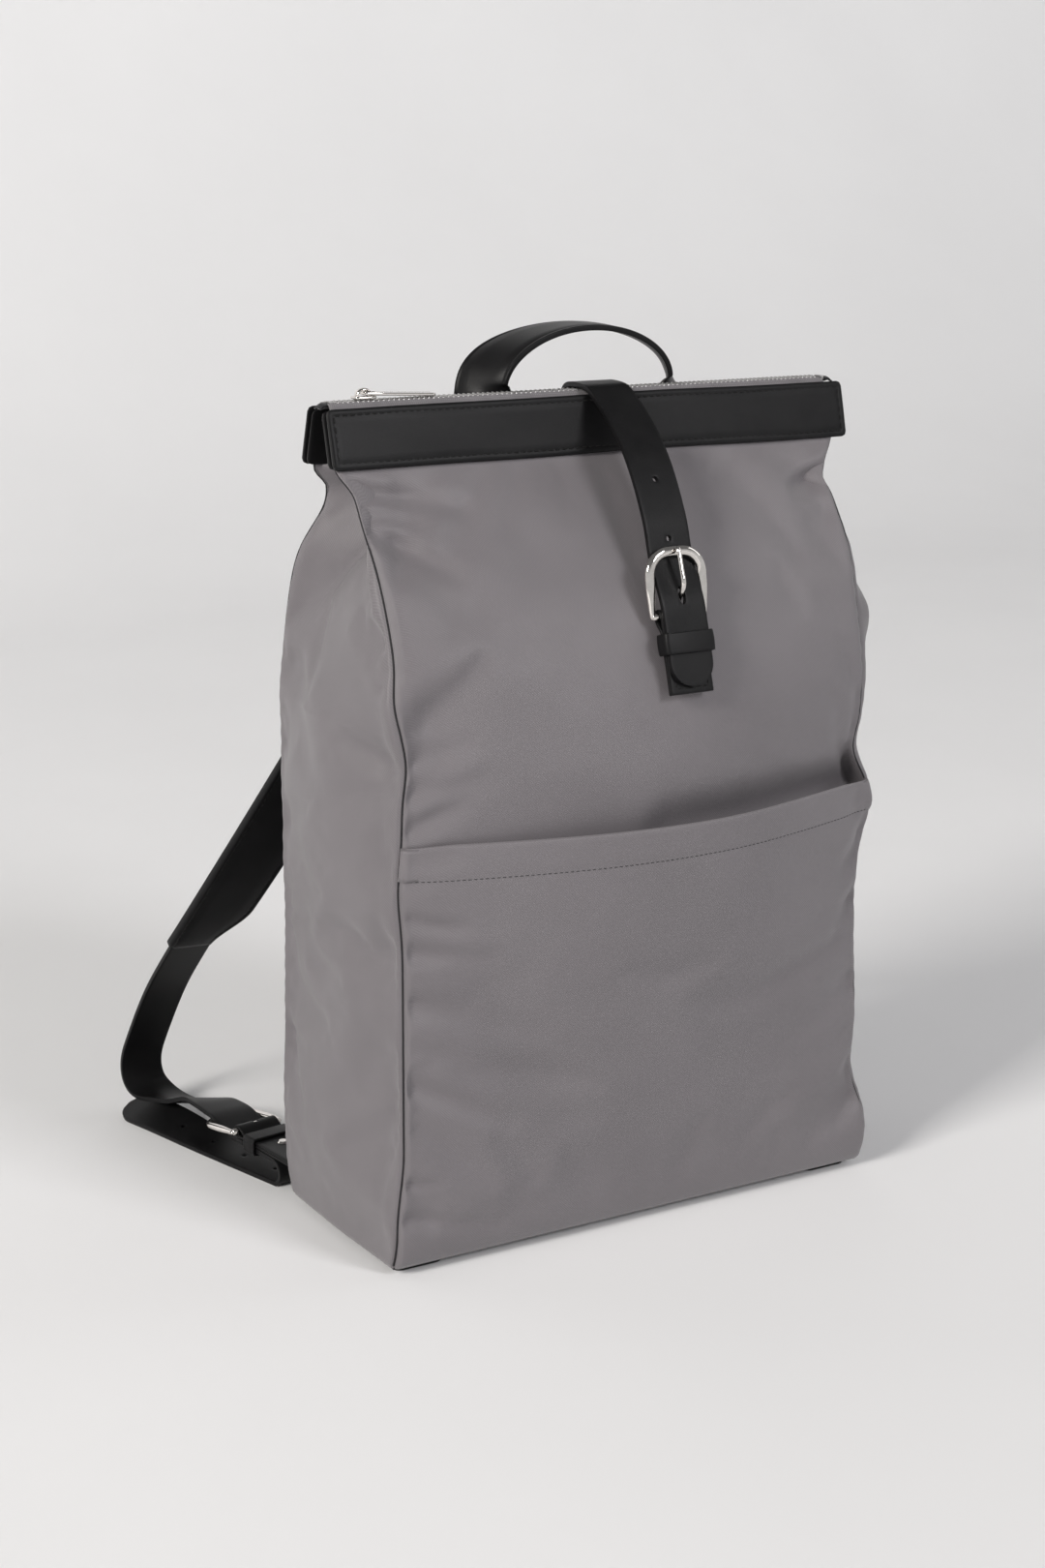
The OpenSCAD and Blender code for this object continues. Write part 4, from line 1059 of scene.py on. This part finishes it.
# Zip. A tooth has stations from its foot to its head: (from the middle, half length, half height)
TOOTH_GROW = 1.08
TOOTH_STATIONS = [
    (4.1, 0.52, 0.84), (3.85, 0.68, 1.08), (2.3, 0.68, 1.08), (1.5, 0.42, 0.72),
    (0.5, 0.58, 0.92), (-0.2, 0.56, 0.85), (-0.5, 0.3, 0.5),
]


def zip_tape(rear):
    node = "zip_tape_rear" if rear else "zip_tape_front"
    path = spline([band_pt(15, TAPE_N), band_pt(24, TAPE_N), band_pt(29, TAPE_N),
                   0.5 * (band_pt(30, TAPE_N) + np.array([TOP_Y - 3.6, CHAIN_Z])) + [0, 0.5],
                   [TOP_Y - 3.5, CHAIN_Z]], 5)
    xs = np.linspace(-HALF_W - 1, HALF_W + 3.5, 150)
    droop = 7.5 * smooth((xs - HALF_W + 5) / 9)
    rise = smooth((path[:, 1:] - BODY_H + 2) / 4)
    points = columns(xs, path[:, :1], path[:, 1:] + rise * (0.15 * np.sin(xs / 5) - droop))
    points = to_rear(points) if rear else points
    obj = grid_object(node + "_woven", points, flat_uv(points), flip=rear)
    thicken(obj, TAPE_T, 0.0)
    return dress(obj, TAPE, "zip_tape", "bag", [node])


def zip_teeth(rear):
    """Separate metal teeth, each clamped on the tape's bead, with a waist and a round head."""
    node = "zip_teeth_rear" if rear else "zip_teeth_front"
    sign = 1 if rear else -1
    first = -CHAIN_L / 2 + TOOTH_PITCH * (1.0 if rear else 0.5)
    y, w, h = np.array(TOOTH_STATIONS).T[:, :, None]
    angles = np.radians(22.5 + 45 * np.arange(8))
    cos, sin = TOOTH_GROW * np.cos(angles), TOOTH_GROW * np.sin(angles)
    tooth = columns(first + w * cos, TOP_Y + sign * y, CHAIN_Z + h * sin).reshape(-1, 3)
    faces = tube_faces(len(y), 8)
    if not rear:
        faces = [tuple(reversed(f)) for f in faces]
    count = int((CHAIN_L - TOOTH_PITCH) / TOOTH_PITCH)
    bead = columns(np.linspace(-CHAIN_L / 2, CHAIN_L / 2, 60), TOP_Y + sign * 3.5, CHAIN_Z)
    bead_tube = tube_part(bead, sign * Y_AXIS, Z_AXIS, 0.7, 0.75, 8)
    joined_piece(node + "_bead", [bead_tube], TAPE, "zip_tape", "bag", flip=rear)
    teeth = [(tooth + i * TOOTH_PITCH * X_AXIS, faces) for i in range(count)]
    joined_piece(node + "_metal", teeth, TEETH, "nickel", "bag", [node])


def plate(name, outline, z0, z1, edge, place, body, *stands_for, segments=3):
    """Flat nickel plate from an outline, with soft edges."""
    n = len(outline)
    points = place(np.concatenate([columns(*outline.T, z) for z in (z0, z1)]))
    faces = [tuple(reversed(range(n))), tuple(n + i for i in range(n))]
    faces += [(i, (i + 1) % n, n + (i + 1) % n, n + i) for i in range(n)]
    obj = mesh_object(name, points, faces)
    round_edges(obj, edge, segments, 40)
    dress(obj, NICKEL, "nickel", body, stands_for)


def rounded(l, w, r, arc=6):
    """Outline of a rectangle with round corners, about the origin."""
    out = []
    for k, (sx, sy) in enumerate(((1, 1), (-1, 1), (-1, -1), (1, -1))):
        for i in range(arc + 1):
            a = math.pi / 2 * (k + i / arc)
            out.append((sx * (l / 2 - r) + r * math.cos(a), sy * (w / 2 - r) + r * math.sin(a)))
    return np.array(out)


def zip_slider():
    top = CHAIN_Z + TOOTH_H / 2 + 0.4
    low = CHAIN_Z - TOOTH_H / 2 - 0.4 - 1.4
    outline = rounded(12, 9, 2.6)
    outline[:, 1] *= 1 - 0.16 * bump(outline[:, 0], -3.5, 3.0)

    def place(p):
        return p + [SLIDER_X, TOP_Y, 0]

    plate("zip_slider_body", outline, top, top + 1.5, 0.55, place, "slider", "zip_slider")
    plate("zip_slider_sole", outline * [1, 0.7], low, low + 1.4, 0.5, place, "slider")
    angles = np.linspace(-0.12, math.pi + 0.12, 26)
    cos, sin = np.cos(angles), np.sin(angles)
    arch = columns(SLIDER_X + 4.0 * cos, TOP_Y, top + 1.2 + 3.5 * sin)
    crown_tube = tube_part(arch, Y_AXIS, columns(cos, 0, sin), 1.35 + 0.9 * clamp01(sin), 0.8, 14)
    nickel_piece("zip_slider_crown", [crown_tube], "slider", flip=True)


def zip_pull():
    cos, sin = math.cos(PULL_DROOP), math.sin(PULL_DROOP)
    long, wide, eye, r = 39.0, 8.8, 7.0, 2.2

    def place(p):
        x, y, z = p.T
        return columns(SLIDER_X + x * cos + z * sin, TOP_Y + y, PIN_Z - x * sin + z * cos)

    tip = [(long - r + r * math.cos(a), r * math.sin(a)) for a in np.linspace(-math.pi / 2, math.pi / 2, 9)]
    end = [(x, y + (wide / 2 - r) * np.sign(y)) for x, y in tip]
    inner = [(eye, 1.7), (eye - 1.2, 2.2), (-0.9, 2.2), (-0.9, 3.9), (0.4, 4.3), (eye + 2, wide / 2)]
    outline = inner[::-1] + [(x, -y) for x, y in inner] + end
    plate("zip_pull_bar", np.array(outline)[::-1], -0.75, 0.75, 0.35, place, "pull", "zip_pull", segments=2)
    line = place(columns(0, np.linspace(-3.4, 3.4, 6), 0))
    nickel_piece("zip_pull_pin", [tube_part(line, X_AXIS, Z_AXIS, 0.85, 0.85, 12)], "pull", flip=True)


def zip_end_tabs():
    x0 = CHAIN_L / 2 + 2 * SEAT + 2.4
    x, v = np.meshgrid(np.linspace(x0, x0 + 5, 8), np.linspace(-1, 1, 13))
    z = CHAIN_Z + 0.5 - 0.9 * np.abs(v) ** 1.5 - 1.6 * smooth((x - x0 - 2.5) / 2.5)
    right = columns(x, TOP_Y + 3.6 * v, z)
    left = right * [-1, 1, 1]
    faces = grid_faces(*x.shape)
    points, faces = join_parts([(left.reshape(-1, 3), [tuple(reversed(q)) for q in faces]),
                                (right.reshape(-1, 3), faces)])
    uv = np.concatenate([flat_uv(tab).reshape(-1, 2) for tab in (left, right)])
    obj = mesh_object("zip_end_tabs", points, faces, uv)
    thicken(obj, 1.0)
    dress(obj, LINING, "zip_end", "bag", ["zip_ends"])


# Buckles: x across, t from the bar to the free end, n away from the strap
class Place:
    def __init__(self, origin, ex, et, en, flip=False):
        self.origin = np.asarray(origin, float)
        self.axes = np.array([ex, et, en], float)
        self.flip = flip

    def __call__(self, points):
        return self.origin + np.asarray(points, float) @ self.axes

    def turn(self, vectors):
        return np.asarray(vectors, float) @ self.axes

    def mirrored(self):
        m = np.array([-1.0, 1.0, 1.0])
        return Place(self.origin * m, *(self.axes * m), flip=not self.flip)


def buckle(place, prefix, body_frame, body_prong):
    ct, st = math.cos(FRAME_TILT), math.sin(FRAME_TILT)
    tilt = np.array([[1, 0, 0], [0, ct, st], [0, -st, ct]])
    corner = 11.5
    leg = np.linspace(-1.6, FRAME_L - corner, 12)
    arc = np.radians(np.linspace(0, 90, 12)[1:])
    right = [(LEG_X - 0.15 * (1 - t / FRAME_L), t) for t in leg]
    right += [(LEG_X - corner + corner * math.cos(a), FRAME_L - corner + corner * math.sin(a)) for a in arc]
    path = np.array(right + [(x, FRAME_L) for x in (2.0, 0.0, -2.0)] + [(-x, t) for x, t in reversed(right)])
    path = ease(resample(columns(*path.T, 0), 1.2), 3)
    grow = smooth((path[:, 1] + 1.6) / 16)
    ends = np.minimum(np.arange(len(path)), np.arange(len(path))[::-1])
    shrink = np.sqrt(clamp01((ends + 0.35) / 1.8))
    side = np.cross(headings(path), Z_AXIS)
    hoop = tube_part(path, side, Z_AXIS, (1.55 + 1.1 * grow) * shrink, (1.5 + 0.55 * grow) * shrink)
    bar = tube_part(columns(np.linspace(-LEG_X, LEG_X, 9), 0, 0), Y_AXIS, Z_AXIS, BAR_R, BAR_R)
    nickel_piece(prefix + "_buckle_frame", [hoop, bar], body_frame, prefix + "_buckle",
                 place=lambda p: place(p @ tilt), flip=place.flip)
    reach = BAR_R + 0.1 + 0.65
    line = spline([(reach, 0), (7, 1.6), (13.5, PRONG_N), ((13.5 + FRAME_L) / 2, PRONG_N + 0.2),
                   (FRAME_L, PRONG_N), (FRAME_L + 2.0, PRONG_N - 0.6)], 8)
    line = ease(resample(columns(0, *line.T), 0.9), 2)
    s = lengths(line) / lengths(line)[-1]
    tip = np.sqrt(clamp01((1 - s) * 14 + 0.02))
    rise = np.cross(X_AXIS, headings(line))
    prong = tube_part(line, X_AXIS, rise, (1.45 - 0.2 * s) * tip, (1.3 - 0.35 * s) * tip, 14)
    angles = np.linspace(0, 2 * np.pi, 28)
    radial = columns(0, np.cos(angles), np.sin(angles))
    eye = tube_part(reach * radial, X_AXIS, radial, 1.7, 0.62, 10)
    nickel_piece(prefix + "_buckle_prong", [prong, eye], body_prong, prefix + "_prong",
                 place=place, flip=place.flip)


def buckle_tab(place, node, body, long):
    """Leather folded round the bar, with a notch for the prong."""
    mid = TAB_IN + TAB_T / 2
    back = TAB_BACK + TAB_T / 2
    low = [(-long, back), (-long * 0.6, back), (-11, back), (-8, back)]
    turn = [(mid * math.sin(a), -mid * math.cos(a)) for a in np.radians(np.linspace(-8, 172, 14))]
    path = np.array(low + [(-3.6, -mid * 0.62)] + turn + [(-8, mid), (-long * 0.6, mid), (-long, mid)])
    path = ease(resample(columns(0, *path.T), 1.0), 2)
    at_bar = lengths(path)[int(np.argmax(path[:, 1]))]
    width = np.full(len(path), STRAP_W)
    notch = (at_bar - 6, at_bar + 6, 2.3)
    obj = strap_strip(node + "_leather", place(path), place.turn(X_AXIS), width, TAB_T - 0.1, cuts=[notch])
    leather_piece(obj, body, node)


def keeper(place, node, body):
    low, high = TAB_BACK - SEAT, STRAP_OVER + STRAP_T / 2 + SEAT
    half = STRAP_W / 2 + 0.5
    mid_n = (low + high) / 2
    loop = rounded(2 * half + KEEPER_T, high - low + KEEPER_T, 1.6, 5)
    rows = []
    for f in np.linspace(0, 1, 9):
        x, n = (loop * (1 + 0.35 * math.sin(math.pi * f) / np.array([half, mid_n * 4]))).T
        rows.append(columns(x, -KEEPER_AT - 0.2 - f * (KEEPER_W - 0.4), mid_n + n))
    points = np.array(rows)
    obj = grid_object(node + "_leather", place(points), flat_uv(points), loop=True, flip=place.flip)
    thicken(obj, KEEPER_T - 0.1, 0.0, 0.4)
    leather_piece(obj, body, node)


closure_lean = math.atan(slope_of(front_y, TRIM_X, SNAP_Z))
closure_t = np.array([math.sin(closure_lean), math.cos(closure_lean)])
closure_n = np.array([-math.cos(closure_lean), math.sin(closure_lean)])
closure_bar = np.array([float(front_y(TRIM_X, SNAP_Z)), SNAP_Z])
closure_bar = closure_bar + closure_t * SNAP_AT - closure_n * (SNAP_N - SEAT)
on_closure = Place([TRIM_X, *closure_bar], [1, 0, 0], [0, *closure_t], [0, *closure_n])


def round_tip(path, width):
    """Narrows the end of a strap to a half circle."""
    s = lengths(path)
    past = clamp01((s - s[-1] + width / 2) / (width / 2 + 0.02))
    return width * np.sqrt(1 - past ** 2)


def closure_strap():
    root = spline([rear_pt(3, STRAP_N), rear_pt(15, STRAP_N), rear_pt(29.5, STRAP_N + 0.2),
                   [TOP_Y + 9, CREST_Z - 0.5], [TOP_Y, CREST_Z], HINGE], 8)
    free = closure_bar + closure_t * FREE_T
    chord = unit(free - HINGE)
    out = np.array([chord[1], -chord[0]])
    f = np.linspace(0.02, 0.98, 30)[:, None]
    bow = HINGE + (free - HINGE) * f + out * STRAP_BOW * np.sin(np.pi * f)
    ts = np.linspace(FREE_T - 3, -CLOSURE_TIP, 60)[:, None]
    run = closure_bar + closure_t * ts + closure_n * strap_lift(ts)
    path = ease(resample(np.concatenate([root[:-1], bow, run]), 1.0), 14)
    world = columns(TRIM_X, *path.T)
    s = lengths(world)
    along = (path - closure_bar) @ closure_t
    front = np.arange(len(path)) > len(path) // 3

    def place_of(t):
        return float(s[front][np.argmin(np.abs(along[front] - t))])

    holes = [(place_of(SLOT_T), *SLOT_HALF)]
    holes += [(place_of(SLOT_T + k * HOLE_PITCH), HOLE_D / 2, HOLE_D / 2) for k in (1, 2)]
    obj = strap_strip("closure_strap_leather", world, X_AXIS, round_tip(world, STRAP_W), STRAP_T, holes)
    leather_piece(obj, None, "closure_strap_rear", "closure_strap_front")
    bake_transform(obj)


def closure_hardware():
    buckle(on_closure, "closure", "closure_frame", "closure_tongue")
    buckle_tab(on_closure, "closure_tab", "closure_flap", CLOSURE_TAB)
    keeper(on_closure, "closure_keeper", "closure_flap")
    half = STRAP_W / 2 - 3
    t0, t1 = -CLOSURE_TAB + 3, -KEEPER_AT - KEEPER_W - 2
    lines = runs([(half, t1), (half, t0), (-half, t0), (-half, t1)], 20)
    rows = [(on_closure(columns(*line.T, TAB_R)), on_closure.turn(Z_AXIS)) for line in lines]
    stitches("closure_tab_stitches", rows, "closure_flap", THREAD, pitch=3.2, long=2.5)


# Carry handle
def handle():
    y0 = TOP_Y + FOOT_DY - BAND_H * math.sin(BAND_TILT) + HANDLE_N * math.cos(BAND_TILT) + 8
    angles = np.radians(np.linspace(176, 4, 60))
    arch = columns(HANDLE_X + HANDLE_SPAN / 2 * np.cos(angles), y0, HANDLE_Z + HANDLE_RISE * np.sin(angles))
    turn = HANDLE_SPLAY * np.cos(angles)
    leg = rear_pt(np.linspace(2, 18, 12), HANDLE_N)
    feet_x = [HANDLE_X + side * HANDLE_SPAN / 2 for side in (-1, 1)]
    left, right = [columns(x, *leg) for x in feet_x]
    path = np.concatenate([left, arch, right[::-1]])
    level = np.tile(X_AXIS, (len(left), 1))
    across = np.concatenate([-level, columns(np.sin(turn), np.cos(turn), 0), level])
    path, across = resample(path, 1.5, across)
    path, across = ease(path, 6), unit(ease(across, 8))
    ring = np.tile(strap_ring(HANDLE_W, HANDLE_T), (len(path), 1, 1))
    obj = mesh_object("carry_handle_leather", *sweep_part(path, across, ring))
    leather_piece(obj, None, "carry_handle", "handle_ends")
    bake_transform(obj)
    box = [(-11.5, 5), (11.5, 5), (11.5, 17), (-11.5, 17), (-11.5, 5)]
    lines = runs(box, 16) + runs(box[0:3:2], 16) + runs(box[1:4:2], 16)
    rows = [(columns(foot + x, *rear_pt(u, HANDLE_N + HANDLE_T / 2)), REAR_OUT)
            for foot in feet_x for x, u in (line.T for line in lines)]
    stitches("handle_stitches", rows, "bag", THREAD)


# Shoulder straps
toe_dir = np.array([-math.sin(ANCHOR_TOE), math.cos(ANCHOR_TOE), 0.0])
anchor = np.array([-HALF_W + 13, float(rear_seam_y(ANCHOR_Z)) + SEAT, ANCHOR_Z])
left_bar = anchor + toe_dir * ANCHOR_L
on_left = Place(left_bar, [-math.cos(ANCHOR_TOE), -math.sin(ANCHOR_TOE), 0], toe_dir, [0, 0, -1])
STEP_AT = np.array([-17.0, 36.0, 102.0])
FALL_AT = np.array([[-21, 74, 66], [-26, 93, 32], [-28, 101, 13], [-26, 101, -1], [-20, 91, -7.5],
                    [-13, 73, -7.5], [-7, 58, -2.5]], float)
LEAN_IN = math.radians(13)


def left_pt(t, n):
    """Places on the left anchor tab: t along it from the bar, n down."""
    return left_bar + toe_dir * np.asarray(t, float)[..., None] - Z_AXIS * np.asarray(n, float)[..., None]


def strap_paths():
    slope = slope_of(back_y, PAD_X, PAD_Z)
    out = unit([0, 1, -slope])
    top = np.array([-PAD_X, float(back_y(PAD_X, PAD_Z)), PAD_Z]) + out * (PAD_T / 2 + 2 * SEAT)
    end = left_bar + STEP_AT
    ctrl = [top, top + unit([-0.16, -slope, -1]) * 100, end - unit(FALL_AT[0] - STEP_AT) * 62, end]
    f = np.linspace(0, 1, 80)[:, None]
    g = 1 - f
    pad = g ** 3 * ctrl[0] + 3 * g * g * f * ctrl[1] + 3 * g * f * f * ctrl[2] + f ** 3 * ctrl[3]
    d = headings(pad)
    lap = pad + np.cross(square_to(d, X_AXIS), d) * ((PAD_T + STRAP_T) / 2 + 2 * SEAT)
    fall = spline([lap[-1], lap[-1] + d[-1] * 4, *(left_bar + FALL_AT), left_pt(FREE_T, 0),
                   left_pt(FRAME_L, 0)], 9)
    ts = np.linspace(FRAME_L - 2, CURL_T, 40)
    run = left_pt(ts, strap_lift(ts))
    r = (ANCHOR_Z - STRAP_OVER - STRAP_T / 2) / 2
    a = np.radians(np.linspace(15, 150, 13))
    curl = left_pt(CURL_T - r * np.sin(a), STRAP_OVER + r * (1 - np.cos(a)))
    tail_dir = np.array([-math.sin(TAIL_TURN), math.cos(TAIL_TURN), 0.0])
    start = left_pt(CURL_T, ANCHOR_Z - STRAP_T / 2)
    ds = np.linspace(0, TAIL_L, 60)
    roll_by = TAIL_ROLL * smooth((ds - 50) / 70)
    lift = STRAP_W / 2 * np.sin(roll_by) - STRAP_T / 2 * (1 - np.cos(roll_by))
    tail = start + tail_dir * ds[:, None] + Z_AXIS * lift[:, None]
    first = np.concatenate([lap[-12:-1], fall, run, curl])
    lean_by = -LEAN_IN * bump((np.arange(len(first)) - 11) / 9, 7.4, 1.7)
    level = np.cos(roll_by)
    across = np.concatenate([columns(np.cos(lean_by), 0, np.sin(lean_by)),
                             columns(level * tail_dir[1], -level * tail_dir[0], np.sin(roll_by))])
    return pad, np.concatenate([first, tail]), across, start, tail_dir


def shoulder_strap(side):
    name = "left" if side < 0 else "right"
    strap = name + "_strap"
    flip = np.array([-side, 1.0, 1.0])
    place = on_left if side < 0 else on_left.mirrored()
    pad, lower, across, tail_start, tail_dir = strap_paths()
    s = lengths(pad)
    inner = PAD_W / 2 - 12 * smooth((s - s[-1] + 34) / 34)
    outer = PAD_W / 2 - 4.5 * smooth((s - s[-1] + 2.5) / 2.5)
    rings = np.array([strap_ring(w, PAD_T, 1.3, PAD_SEAM, 0.3, 0.45) for w in inner + outer])
    rings[:, :, 0] += ((inner - outer) / 2)[:, None]
    points, faces, uv = sweep_part(pad, X_AXIS, rings)
    upper = mesh_object(strap + "_upper_leather", points * flip, faces, uv, flip=side > 0)
    leather_piece(upper, "bag", strap + "_upper")
    d = headings(pad)
    a = square_to(d, X_AXIS)
    n = np.cross(a, d)
    rows = []
    for face in (1, -1):
        for edge in (PAD_SEAM - outer, inner - PAD_SEAM):
            line = pad + a * edge[:, None] + n * face * (PAD_T / 2 - 0.15)
            rows.append((line[2:-3] * flip, (n * face)[2:-3] * flip))
    stitches(strap + "_stitches", rows, "bag", THREAD)
    path, across = resample(lower, 1.0, across)
    path = ease(path, 4)
    s = lengths(path)
    tail = s > s[-1] - TAIL_L + 8
    on_run = ~tail & (path[:, 2] < ANCHOR_Z)

    def place_of(distance, where):
        return float(s[where][np.argmin(distance[where])])

    holes = [(place_of(np.abs((path - left_bar) @ toe_dir - SLOT_T), on_run), *SLOT_HALF)]
    for k in range(4):
        spot = tail_start + tail_dir * (TAIL_L - 50 - k * HOLE_PITCH * 0.9)
        holes.append((place_of(np.linalg.norm((path - spot)[:, :2], axis=1), tail), HOLE_D / 2, HOLE_D / 2))
    width = round_tip(path, STRAP_W)
    strip = strap_strip(strap + "_lower_leather", path * flip, across * flip, width, STRAP_T, holes)
    leather_piece(strip, "bag", strap + "_lower")
    buckle(place, strap, name + "_frame", name + "_tongue")
    buckle_tab(place, strap + "_tab", "bag", ANCHOR_L + 4)
    keeper(place, strap + "_keeper", "bag")
    return upper


# Camera
SENSOR = 36.0
FOCAL_PIXELS = 2629.11
LONG_SIDE_PIXELS = 1620.0
CAMERA_AT = (-0.70017, -1.11846, 0.57191)
AZIMUTH_ELEVATION_ROLL = (-30.545, 14.580, 0.350)
azimuth, elevation, roll = np.radians(AZIMUTH_ELEVATION_ROLL).tolist()
camera = bpy.data.cameras.new("camera")
camera.sensor_width = SENSOR
camera.lens = FOCAL_PIXELS * SENSOR / LONG_SIDE_PIXELS
camera.clip_start = 0.05
camera_object = bpy.data.objects.new("camera", camera)
bpy.context.scene.collection.objects.link(camera_object)
bpy.context.scene.camera = camera_object
level = math.cos(elevation)
back = Vector((math.sin(azimuth) * level, -math.cos(azimuth) * level, math.sin(elevation)))
right = Vector((math.cos(azimuth), math.sin(azimuth), 0))
up = back.cross(right)
rolled_right = right * math.cos(roll) + up * math.sin(roll)
rolled_up = up * math.cos(roll) - right * math.sin(roll)
turned = Matrix((rolled_right, rolled_up, back)).transposed().to_4x4()
turned.translation = Vector(CAMERA_AT)
camera_object.matrix_world = turned

# Build
front_sim = front_wrinkles()
front = front_panel(front_sim)
rear = back_panel(back_wrinkles())
sides = [gusset(-1), gusset(1)]
floor_cloth = base()
seam_lines()
pocket_piece, pocket_thread = pocket(front_sim)
inner = lining()
sleeve_piece = sleeve()
foam_piece = foam()
bands()
tapes = [zip_tape(False), zip_tape(True)]
for is_rear in (False, True):
    zip_teeth(is_rear)
zip_slider()
zip_pull()
zip_end_tabs()
closure_strap()
closure_hardware()
handle()
uppers = [shoulder_strap(side) for side in (-1, 1)]

# Solids that stay as they are
for name, material, edge in (
    ("base_feet", RUBBER, 1.0), ("base_board", BOARD, 0.5), ("zip_stops", TEETH, 0.35),
    ("snap_stud", NICKEL, 0.3), ("snap_socket", NICKEL, 0.3),
    ("left_tab_rivet", NICKEL, 0.25), ("right_tab_rivet", NICKEL, 0.25),
):
    node = nodes[name]
    node.data.materials.clear()
    node.data.materials.append(material)
    round_edges(node, edge, 3, 35)

# Stage
scene = bpy.context.scene
scene.view_settings.view_transform = "Standard"
FLOOR_HALF = 4.0
CURVE_Y = 1.6
CURVE_R = 1.2
WALL_TOP = 3.2
bend = np.radians(np.linspace(8, 90, 12))
profile = [(-FLOOR_HALF, 0.0), (CURVE_Y, 0.0)]
profile += [(CURVE_Y + CURVE_R * math.sin(a), CURVE_R - CURVE_R * math.cos(a)) for a in bend]
profile += [(CURVE_Y + CURVE_R, WALL_TOP)]
stage_points = np.array([[(x, y, z) for y, z in profile] for x in (-FLOOR_HALF, FLOOR_HALF)]) / MM
stage = mesh_object("studio_floor", stage_points.reshape(-1, 3), grid_faces(2, len(profile)), flip=True)
paper = Nodes("studio_paper", "Object")
paper.link(paper.ramp(paper.noise(3.0), (0.81, 0.81, 0.815), (0.83, 0.83, 0.835)), "Base Color")
paper.set(Roughness=0.9, Specular_IOR_Level=0.1)
stage.data.materials.append(paper.material)

# Light: a bright horizon, a darker sky and three soft lights
world = bpy.data.worlds.new("studio")
world.use_nodes = True
sky = world.node_tree
direction = sky.nodes.new("ShaderNodeTexCoord").outputs["Generated"]
height = sky.nodes.new("ShaderNodeSeparateXYZ")
sky.links.new(direction, height.inputs[0])
shade = sky.nodes.new("ShaderNodeValToRGB")
for element, at, value in zip(shade.color_ramp.elements, (0.2, 0.45), (1.0, 0.26)):
    element.position = at
    element.color = (*grey(value), 1.0)
sky.links.new(height.outputs["Z"], shade.inputs["Fac"])
sky.links.new(shade.outputs["Color"], sky.nodes["Background"].inputs["Color"])
sky.nodes["Background"].inputs["Strength"].default_value = 0.62
scene.world = world


def soft_light(name, where, size, power, colour, target=(0.0, 0.0, 0.22)):
    data = bpy.data.lights.new(name, "AREA")
    data.shape = "RECTANGLE"
    data.size, data.size_y = size
    data.energy = power
    data.color = colour
    obj = bpy.data.objects.new(name, data)
    scene.collection.objects.link(obj)
    obj.location = where
    obj.rotation_mode = "QUATERNION"
    obj.rotation_quaternion = (Vector(target) - Vector(where)).to_track_quat("-Z", "Y")


soft_light("left", (-4.9, -1.6, 3.0), (1.6, 1.6), 285.0, (1.0, 0.97, 0.93))
soft_light("key", (1.7, -4.7, 3.1), (1.6, 1.6), 132.0, (1.0, 0.985, 1.0))
soft_light("right", (5.1, -0.9, 3.2), (2.4, 2.4), 30.0, (1.0, 1.0, 1.0))
